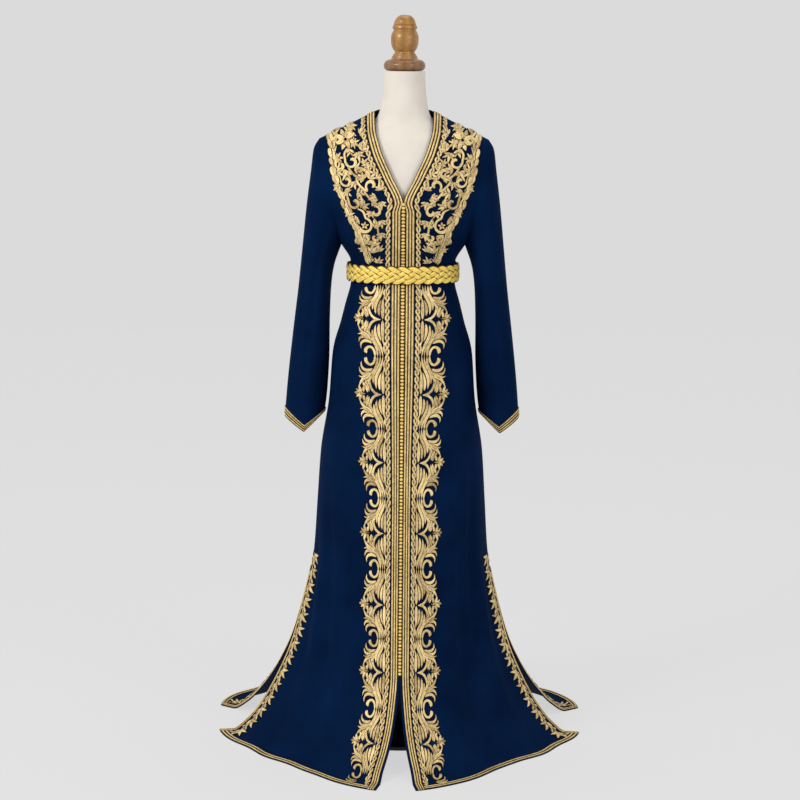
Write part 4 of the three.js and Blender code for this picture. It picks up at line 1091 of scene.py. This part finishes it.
OUTER_EDGE = np.array([(182, 1404), (177, 1380), (174, 1345), (168, 1312), (158, 1282), (144, 1252), (130, 1222),
                       (116, 1192), (104, 1165), (95, 1140), (88, 1124)])
chest = []
edge_t = np.linspace(0.2, 9.6, 17)
edge_x = np.interp(edge_t, np.arange(len(OUTER_EDGE)), OUTER_EDGE[:, 0])
edge_z = np.interp(edge_t, np.arange(len(OUTER_EDGE)), OUTER_EDGE[:, 1])
for k, (x, z) in enumerate(zip(edge_x, edge_z)):
    chest.append(("leaf", 4.4, leaf(x - 9, z + 12, -84 - 8 * (k % 2), 24 - 3 * (k % 2), -0.35)))
    chest.append(("leaf", 4.0, leaf(x - 13, z + 11, -122 - 12 * (k % 2), 20, 0.4)))
for first in (0, 3, 6):
    chest.append(("band", 3.0, OUTER_EDGE[first:first + 5] - [14, -6]))
chest += rosette(132, 1398, 21, 8, 12) + [("curl", 3.6, scroll(132, 1398, 9, 0, 0.98, 0.8))]
chest += acanthus(150, 1402, 4, 27, 3.2) + acanthus(128, 1414, 118, 20, 2.8) + acanthus(116, 1392, 205, 20, 2.8)
chest += [
    ("curl", 3.6, np.vstack([[(126, 1380), (133, 1366), (131, 1352)], scroll(116, 1349, 15, 0, -0.9)])),
    ("curl", 3.6, np.vstack([[(152, 1384), (157, 1366), (153, 1350)], scroll(142, 1340, 12, 30, -0.85)])),
    ("curl", 3.8, np.vstack([[(131, 1352), (118, 1328), (104, 1316)], scroll(92, 1326, 14, -60, -0.85)])),
    ("curl", 3.6, np.vstack([[(142, 1352), (148, 1330), (143, 1312)], scroll(128, 1306, 14, 10, -0.95)])),
    ("curl", 3.8, np.vstack([[(108, 1318), (100, 1300), (84, 1286)], scroll(72, 1298, 14, -50, 0.85)])),
    ("curl", 3.8, np.vstack([[(118, 1296), (126, 1278), (122, 1262)], scroll(108, 1258, 14, 10, -0.95)])),
    ("curl", 3.6, np.vstack([[(92, 1290), (78, 1272), (62, 1256)], scroll(62, 1240, 13, 90, 0.85)])),
    ("curl", 3.8, np.vstack([[(104, 1246), (90, 1240), (84, 1226)], scroll(86, 1208, 17, 100, 0.72, 0.75)])),
    ("curl", 3.2, np.vstack([[(110, 1230), (112, 1214), (108, 1200)], scroll(99, 1190, 9, 30, -0.9)])),
    ("curl", 3.2, np.vstack([[(66, 1226), (58, 1212), (56, 1196)], scroll(62, 1182, 9, 160, 0.85)])),
]
chest += acanthus(104, 1370, 250, 24) + acanthus(110, 1334, 170, 22) + acanthus(126, 1330, -70, 26)
chest += acanthus(90, 1344, 120, 17, 2.6) + acanthus(88, 1312, 30, 20) + acanthus(104, 1282, 190, 26)
chest += acanthus(142, 1296, -40, 20, 2.8) + acanthus(58, 1312, 110, 14, 2.4) + acanthus(88, 1262, -20, 20)
chest += acanthus(70, 1262, 200, 17, 2.6) + acanthus(120, 1240, -60, 17, 2.6) + acanthus(84, 1188, -90, 17, 2.8)
chest += rosette(86, 1208, 8, 5, 18) + acanthus(70, 1146, 90, 30, 3.2) + acanthus(52, 1150, 70, 20, 2.6)
chest += acanthus(86, 1150, 60, 20, 2.6) + acanthus(72, 1124, 60, 16, 2.6) + acanthus(56, 1122, 100, 18, 2.6)
SPRAYS = [(80, 1346, 300), (94, 1374, 120), (124, 1424, 160), (116, 1414, 300), (52, 1288, 75), (50, 1262, 260),
          (62, 1274, -30), (50, 1220, 255), (100, 1222, -30), (72, 1240, -70), (106, 1178, 200), (50, 1192, 265),
          (90, 1172, 20), (150, 1326, 200), (152, 1356, 170), (120, 1376, 290), (96, 1392, 230), (84, 1330, 190),
          (122, 1420, 80), (146, 1420, 20), (160, 1396, 250), (132, 1284, 210), (66, 1206, 130), (112, 1306, 250),
          (92, 1250, 150), (60, 1164, 70), (82, 1166, 110), (126, 1228, 150), (100, 1410, 150), (76, 1312, 130)]
for x, z, angle in SPRAYS:
    chest += acanthus(x, z, angle, 19, 3.0)
leaves = [line for line in chest if line[0] == "leaf"]
scrolls = [line for line in chest if line[0] != "leaf"]
print("chest leaves:", len(leaves), "scrolls and stems:", len(scrolls))
for name, cloth in fronts.items():
    for kind, lines, steps in (("chest", leaves, 11), ("scrolls", scrolls, 30)):
        path, half = drawn(lines, steps, wider=1.28)
        shade = 0.5 + 0.3 * np.sin(np.arange(len(lines)) * 1.9 + 0.6 * cloth.side)
        sewn[name][kind] = ribbons(f"{kind}_{name}", chest_lay(cloth), path, half, LEAF_HEIGHTS,
                                   stroke_lift(half), EMBROIDERY_GOLD, shade)

# %% [markdown]
# ## Vines beside the slits
# A thin twisted stem with three-leaf sprigs runs beside each side slit and along the corners of the train.

# %% Vines
def edge_lay(cloth):
    """Lays plan points on a panel: a is mm in from the side edge, b mm down it from the slit top."""
    start = float(np.interp(SLIT_TOP, MEASURE_ROWS, cloth.side_down))

    def lay(a, b, rise):
        row = np.interp(b + start, cloth.side_down, MEASURE_ROWS)
        return cloth.lay(cloth.across_at(cloth.width_at(row) - a, row), row, rise)
    return lay, start


def vine(length):
    """Stem and sprigs: every 36 mm three leaves lean away from the edge, and a bud turns back to it."""
    t = np.arange(4, length, 10.0)
    stems = [("band", 1.7, np.stack([35 + 2.6 * np.sin(t / 11), t], -1)),
             ("band", 1.3, np.stack([35 - 2.6 * np.sin(t / 11), t], -1))]
    sprigs = []
    for foot in np.arange(8.0, length - 18, 36.0):
        for angle, size, width in ((48, 31, 5.6), (8, 25, 5.0), (88, 27, 5.2)):
            sprigs.append(("leaf", width, leaf(37, foot, angle, size, -0.25)))
        sprigs.append(("leaf", 4.2, leaf(33, foot + 4, 118, 17, -0.3)))
        sprigs.append(("leaf", 3.8, leaf(33, foot + 22, 128, 13, 0.3)))
        sprigs.append(("drop", 4.4, leaf(38, foot + 20, 30, 17, 0.2)))
    return stems, sprigs


for name in SIDES:
    for kind, cloth in (("front", fronts[name]), ("back", backs[name])):
        lay, start = edge_lay(cloth)
        length = float(cloth.side_down[-1]) - start - 20
        stems, sprigs = vine(length)
        path, half = drawn(sprigs, 10)
        order = np.arange(len(path))
        lift = np.minimum(half * 0.5, 1.5) + (0.5 + 0.33 * (order % 5))[:, None]
        sewn[name][f"vine {kind}"] = ribbons(f"vine_{kind}_{name}", lay, path, half, LEAF_HEIGHTS, lift,
                                             EMBROIDERY_GOLD, 0.5 + 0.3 * np.sin(order * 1.7))
        path, half = drawn(stems, 150)
        sewn[name][f"stem {kind}"] = ribbons(f"stem_{kind}_{name}", lay, path, half, CORD_HEIGHTS,
                                             np.full(half.shape, 1.5), EMBROIDERY_GOLD,
                                             np.array([0.5, 0.35]))
print("vine length, mm:", round(length))

# %% [markdown]
# ## Belt
# The belt, the mdamma, is plaited flat from five thick strands, each of three gold cords. A strand swings
# from edge to edge as it goes round the waist and passes over and under the others in turn.

# %% Belt
BELT_MIDDLE, BELT_CLEARANCE = 1095.0, 6.0
WAIST = (118.0, 91.0, 81.0, 2 / 2.2)
PLAIT_PERIODS = 6
STRANDS = 5


def waist_point(part, height, out):
    """Point round the belt: part runs from 0 to 1 round the waist, out is mm outwards from the waist line."""
    turn = 2 * np.pi * part
    c, s = np.cos(turn), np.sin(turn)
    depth = np.where(s < 0, WAIST[1], WAIST[2])
    x = np.sign(c) * np.abs(c) ** WAIST[3] * WAIST[0]
    y = np.sign(s) * np.abs(s) ** WAIST[3] * depth
    far = np.hypot(x, y)
    return np.stack([x * (1 + out / far), y * (1 + out / far), BELT_MIDDLE + height], -1) * MM


turn = np.linspace(0, 1, 4001)
walk = waist_point(turn, 0.0 * turn, 8.0)
waist_length = np.r_[0, np.cumsum(np.linalg.norm(np.diff(walk, axis=0), axis=1))] / MM
along_steps = np.linspace(0, waist_length[-1], 421)[:-1]
parts = np.interp(along_steps, waist_length, turn)
period = waist_length[-1] / PLAIT_PERIODS
strand_across = np.array([-6.4, -6.0, -4.4, -2.6, -2.0, -1.2, 0, 1.2, 2.0, 2.6, 4.4, 6.0, 6.4])
strand_dome = np.array([0.2, 0.9, 1.9, 1.3, 1.2, 2.1, 2.6, 2.1, 1.2, 1.3, 1.9, 0.9, 0.2])
CROSSINGS = [(-0.1, -1), (0.1, 1), (0.3, -1), (0.7, 1), (0.9, -1), (1.1, 1)]
all_points, all_faces, all_uv, all_shade = [], [], [], []
for k in range(STRANDS):
    phase = along_steps / period + k / STRANDS
    swing = 2 / np.pi * np.arcsin(0.985 * np.sin(2 * np.pi * phase))
    middle = 17.0 * swing
    slope = np.gradient(middle, along_steps)
    direction = np.stack([np.ones_like(slope), slope], -1) / np.hypot(1, slope)[:, None]
    sideways = np.stack([-direction[:, 1], direction[:, 0]], -1)
    s = along_steps[:, None] + sideways[:, :1] * strand_across
    h = middle[:, None] + sideways[:, 1:] * strand_across
    crossing = np.interp((2 * phase) % 1, *np.array(CROSSINGS).T)
    lift = (2.4 + 1.6 * crossing)[:, None] + strand_dome
    part = np.interp(s % waist_length[-1], waist_length, turn)
    top = waist_point(part, h, BELT_CLEARANCE + 0.6 + lift)
    bottom = waist_point(part, h, BELT_CLEARANCE + 0.6 + np.broadcast_to((1.6 + 1.6 * crossing)[:, None] - 0.8, s.shape))
    top, bottom = top.swapaxes(0, 1), bottom.swapaxes(0, 1)
    points, faces = wall_arrays(top, bottom, ring=True)
    # uv x reaches 0.93 at each strand's edge, so the outer part of every strand gets the painted edge shade between the
    # strands.
    uv = np.stack(np.broadcast_arrays(0.93 * strand_across[:, None] / 6.4, along_steps[None, :]), -1).reshape(-1, 2)
    all_faces.append(faces + sum(len(p) for p in all_points))
    all_points.append(points)
    all_uv.append(np.concatenate([uv, uv]))
    all_shade.append(np.full(len(points), 0.45 + 0.04 * k))
belt = make_piece("belt_plait", np.concatenate(all_points), np.concatenate(all_faces), BELT_GOLD,
                  np.concatenate(all_uv), np.concatenate(all_shade), sharp=0)
heights = np.array([-19.5, -18, 0, 18, 19.5])
part, h = np.meshgrid(np.linspace(0, 1, 121)[:-1], heights)
under_top = waist_point(part, h, BELT_CLEARANCE + np.broadcast_to([[0.4], [1.4], [1.6], [1.4], [0.4]], h.shape))
under_bottom = waist_point(part, h, BELT_CLEARANCE + 0 * h)
points, faces = wall_arrays(under_top, under_bottom, ring=True)
# Painted shade: the backing is a darker copy of the belt gold, which shows as shade in the gaps between the strands.
BELT_SHADE_BACKING = gold_material("belt shade backing", (0.10, 0.055, 0.012), (0.45, 0.28, 0.07), 1.0, 2.0)
belt_backing = make_piece("belt_backing", points, faces, BELT_SHADE_BACKING,
                          np.concatenate([np.stack([h / 25, part * 700], -1).reshape(-1, 2)] * 2))
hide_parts("belt")
print("belt length, mm:", round(float(waist_length[-1])), "period", round(float(period)))

# %% [markdown]
# ## Dress form, disc and finial
# The form is covered in smooth cream linen, and its neck ends in a turned wooden disc and finial. All three
# are rings worked out from outlines, fine enough to look round close up.

# %% Form and wood
FINIAL = np.array([[0, 1678], [9, 1677.2], [17, 1673.2], [22.5, 1666], [24.2, 1660.5], [25.2, 1658.6], [26.2, 1656.8],
                   [25.2, 1655], [27.6, 1652.4], [28.2, 1648.5], [26, 1645], [25.4, 1643.4], [29, 1637], [31.6, 1627],
                   [31, 1613], [27, 1601.5], [22.6, 1594.5], [23, 1591.5], [26, 1589.4], [26.4, 1586.8], [28.6, 1585.2],
                   [29, 1582.4], [30.6, 1580.6], [30.6, 1578.9], [0, 1578.8]])
DISC = np.array([[0, 1578.5], [30, 1578.3], [39, 1576.2], [45, 1571.5], [47.4, 1565.5], [47, 1560], [43.5, 1555],
                 [36, 1552.4], [0, 1551.9]])


def rings_piece(name, rings, material, sharp=50.0):
    """Closed body from rings of points, its two ends closed by rings drawn in to a point."""
    ends = [rings[:1].mean(axis=1, keepdims=True), rings[-1:].mean(axis=1, keepdims=True)]
    tiny = [end + (ring - end) * 0.02 for end, ring in zip(ends, (rings[:1], rings[-1:]))]
    grid = np.concatenate([tiny[0], rings, tiny[1]])
    columns = grid.shape[1]
    faces, _ = grid_faces(len(grid), columns, ring=True)
    points = np.concatenate([grid.reshape(-1, 3), ends[0].reshape(1, 3), ends[1].reshape(1, 3)])
    pair = np.arange(0, columns, 2)
    low, high = len(grid) * columns, len(grid) * columns + 1
    last = (len(grid) - 1) * columns
    top_cap = np.stack([pair * 0 + low, (pair + 2) % columns, (pair + 1) % columns, pair], -1)
    end_cap = np.stack([pair * 0 + high, pair + last, (pair + 1) % columns + last, (pair + 2) % columns + last], -1)
    return make_piece(name, points, np.concatenate([faces, top_cap, end_cap]), material, sharp=sharp)


def smooth_outline(outline, steps):
    """More points on an outline, by a smooth curve through the lines of its table."""
    t = np.linspace(0, len(outline) - 1, steps)
    return np.stack([column(outline[:, k], t) for k in range(2)], -1)


def linen_material():
    """Cream linen: two crossing sets of fine uneven threads as bump, and a faint mottle."""
    material, tree, shader = new_material("cream linen")
    where = node(tree, "ShaderNodeTexCoord").outputs["Object"]
    waves = [node(tree, "ShaderNodeTexWave", {"Vector": where, "Scale": 420.0, "Distortion": 1.5},
                  bands_direction=axis).outputs["Fac"] for axis in ("X", "Z")]
    weave = math(tree, "ADD", *waves)
    slow = node(tree, "ShaderNodeTexNoise", {"Vector": where, "Scale": 25.0, "Detail": 4.0}).outputs["Fac"]
    tone = math(tree, "MULTIPLY_ADD", weave, 0.2, math(tree, "MULTIPLY", slow, 0.7))
    cream = color_ramp(tree, tone, [(0.2, (0.60, 0.54, 0.475)), (0.8, (0.70, 0.64, 0.57))])
    finish_surface(tree, shader, cream, weave, 0.15, 0.0003,
                   {"Roughness": 0.85})
    return material


def wood_material(name, dark, middle, light):
    """Turned and waxed wood: soft growth bands round a tilted axis and fine streaks along the grain."""
    material, tree, shader = new_material(name)
    where = node(tree, "ShaderNodeTexCoord").outputs["Object"]
    turned = node(tree, "ShaderNodeMapping", {"Vector": where, "Rotation": (0.12, 0.2, 0.0),
                                              "Scale": (1.0, 1.0, 0.3)}).outputs["Vector"]
    rings = node(tree, "ShaderNodeTexWave", {"Vector": turned, "Scale": 14.0, "Distortion": 5.0, "Detail": 3.0,
                                             "Detail Scale": 1.6}, wave_type="BANDS").outputs["Fac"]
    streaks = node(tree, "ShaderNodeTexNoise", {"Vector": turned, "Scale": 260.0, "Detail": 4.0}).outputs["Fac"]
    tone = math(tree, "MULTIPLY_ADD", rings, 0.28, math(tree, "MULTIPLY", streaks, 0.72))
    grain = color_ramp(tree, tone, [(0.15, dark), (0.5, middle), (0.85, light)])
    finish_surface(tree, shader, grain, tone, 0.08, 0.0004,
                   {"Roughness": 0.36, "Coat Weight": 0.3, "Coat Roughness": 0.25})
    return material


def steel_material():
    """Dark painted steel with a fine orange-peel surface."""
    material, tree, shader = new_material("dark steel")
    where = node(tree, "ShaderNodeTexCoord").outputs["Object"]
    peel = node(tree, "ShaderNodeTexNoise", {"Vector": where, "Scale": 260.0, "Detail": 2.0}).outputs["Fac"]
    grey = color_ramp(tree, peel, [(0.3, (0.012, 0.012, 0.014)), (0.7, (0.022, 0.022, 0.025))])
    finish_surface(tree, shader, grey, peel, 0.1, 0.0004,
                   {"Metallic": 0.7, "Roughness": 0.45})
    return material


LINEN, STEEL = linen_material(), steel_material()
WOOD = wood_material("turned wood", (0.20, 0.080, 0.012), (0.30, 0.135, 0.022), (0.43, 0.215, 0.042))
DARK_WOOD = wood_material("dark turned wood", (0.12, 0.050, 0.012), (0.19, 0.085, 0.022), (0.28, 0.135, 0.036))
rows, turn = np.meshgrid(np.linspace(0, len(FORM_ROWS) - 1, 120), np.linspace(0, 2 * np.pi, 72, endpoint=False),
                         indexing="ij")
z, half_x, front, rear = (column(FORM_ROWS[:, k], rows) for k in range(4))
power = 2 / (2 + 0.2 * ramp((1475 - z) / 20))
c, s = np.cos(turn), np.sin(turn)
form_grid = np.stack([np.sign(c) * np.abs(c) ** power * half_x,
                      np.sign(s) * np.abs(s) ** power * np.where(s < 0, front, rear), z], -1) * MM
form = rings_piece("linen_form", form_grid, LINEN)
turn = np.linspace(0, 2 * np.pi, 72, endpoint=False)[None, :]


def lathe_piece(name, outline, material):
    """Round body from an outline of radius and height."""
    r, z = outline[:, :1], outline[:, 1:]
    grid = np.stack([r * np.cos(turn), r * np.sin(turn), z + 0 * turn], -1) * MM
    return rings_piece(name, grid, material, sharp=35.0)


wood_finial = lathe_piece("wood_finial", smooth_outline(FINIAL, 140)[1:-1], WOOD)
wood_disc = lathe_piece("wood_disc", smooth_outline(DISC, 60)[1:-1], DARK_WOOD)
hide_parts("form_torso")
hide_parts("finial")
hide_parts("neck_disc")
for name in ("pole", "base"):
    steel_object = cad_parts[name]
    steel_object.data.materials.clear()
    steel_object.data.materials.append(STEEL)
print("form, disc, finial done")

# %% [markdown]
# ## The cut
# The kaftan is cut from five flat pieces of crepe: two fronts, one back and two sleeves. Crepe hardly
# stretches, so the flat area of each cut is the area of its cloth and 3% more for seams and hems. The width
# and length are the widest and longest lines on the cloth and 2% more.

# %% Sheets
SEAM_SHARE, LINE_SHARE, SPARE_LENGTH = 1.03, 1.02, 40


def cut_size(piece_name, widest, longest):
    """Width, length and area of a cut in metres, from its widest and longest lines in millimetres."""
    width, length = LINE_SHARE * widest * MM, LINE_SHARE * longest * MM
    area = float(areas[piece_name]) * SEAM_SHARE
    print(piece_name, "cut", round(width, 3), "x", round(length, 3), "m, area", round(area, 3), "m2")
    return (float(width), float(length)), area


for name, cloth in fronts.items():
    longest = max(cloth.down[-1], cloth.side_down[-1]) + SPARE_LENGTH
    flat, area = cut_size(f"front_panel_{name}", cloth.width.max(), longest)
flat, area = cut_size("back_panel", 2 * backs["left"].width.max(), backs["left"].down[-1])
# The sleeve head's girth and the longest line from it to the cuff's point, measured on the cloth.
sleeve_lines = sleeve_point(1, np.arange(0, 361, 5.0)[:, None], np.linspace(0, SLEEVE_END, 60)[None, :]) / MM
sleeve_girth = float(np.linalg.norm(np.diff(sleeve_lines[:, 0], axis=0), axis=-1).sum())
sleeve_length = float(np.linalg.norm(np.diff(sleeve_lines, axis=1), axis=-1).sum(axis=1).max())
print("sleeve head girth and length, mm:", round(sleeve_girth), round(sleeve_length))
for name in SIDES:
    flat, area = cut_size(f"sleeve_{name}", sleeve_girth, sleeve_length)

# %% [markdown]
# ## Stage and light
# A plain pale floor that sweeps up all round into a backdrop, with a faint glow of its own that evens it
# out. Large soft lights stand on both sides of the camera, so that the dark cloth keeps its form and the
# gold catches small highlights.

# %% Stage
STAGE_GREY = (0.12, 0.12, 0.12)
stage_material, stage_tree, stage_shader = new_material("stage grey")
stage_noise = node(stage_tree, "ShaderNodeTexNoise", {"Scale": 3.0})
stage_tree.links.new(color_ramp(stage_tree, stage_noise.outputs["Fac"],
                                [(0.0, [0.99 * v for v in STAGE_GREY]), (1.0, STAGE_GREY)]),
                     stage_shader.inputs["Base Color"])
stage_shader.inputs["Roughness"].default_value = 0.9
stage_shader.inputs["Specular IOR Level"].default_value = 0.1
stage_shader.inputs["Emission Color"].default_value = (1.0, 1.0, 1.0, 1.0)
stage_shader.inputs["Emission Strength"].default_value = 0.615
turn = np.linspace(0, np.pi / 2, 24)
profile_r = np.r_[0.02, 1.0, 3.0, 6.5, 7.0 + 2.5 * np.sin(turn), 9.5]
profile_z = np.r_[0.0, 0.0, 0.0, 0.0, 2.5 * (1 - np.cos(turn)), 7.5]
round_turn = np.linspace(0, 2 * np.pi, 96, endpoint=False)
stage_grid = np.stack([profile_r[:, None] * np.cos(round_turn), profile_r[:, None] * np.sin(round_turn),
                       np.broadcast_to(profile_z[:, None], (len(profile_r), 96))], -1)
stage_faces, _ = grid_faces(len(profile_r), 96, ring=True)
stage_mesh = bpy.data.meshes.new("stage")
stage_mesh.from_pydata(stage_grid.reshape(-1, 3).tolist(), [], stage_faces[:, ::-1].tolist())
stage_mesh.polygons.foreach_set("use_smooth", np.ones(len(stage_faces), dtype=bool))
stage_mesh.materials.append(stage_material)
stage = bpy.data.objects.new("stage", stage_mesh)
bpy.context.scene.collection.objects.link(stage)

# %% Light
world = bpy.data.worlds.new("studio")
world.use_nodes = True
world.node_tree.nodes["Background"].inputs["Color"].default_value = (1.0, 1.0, 1.0, 1.0)
world.node_tree.nodes["Background"].inputs["Strength"].default_value = 0.6
bpy.context.scene.world = world


def soft_light(name, place, aim, size, power):
    """A square area light at a place, turned to face a point."""
    data = bpy.data.lights.new(name, "AREA")
    data.shape = "SQUARE"
    data.size = size
    data.energy = power
    light = bpy.data.objects.new(name, data)
    bpy.context.scene.collection.objects.link(light)
    light.location = place
    light.rotation_euler = (Vector(aim) - Vector(place)).to_track_quat("-Z", "Y").to_euler()


soft_light("key", (-3.2, -2.8, 3.2), (0, 0, 0.9), 1.5, 125)
soft_light("fill", (2.8, -3.0, 2.4), (0, 0, 0.9), 1.8, 42)
soft_light("top", (0.0, 0.6, 4.4), (0, 0, 0.8), 2.5, 30)

# %% Sizes and finish
counts = {o.name: sum(len(p.vertices) - 2 for p in o.data.polygons)
          for o in bpy.data.objects if o.type == "MESH" and not o.hide_render}
print("triangles in all:", sum(counts.values()), "largest:", sorted(counts.items(), key=lambda c: -c[1])[:6])
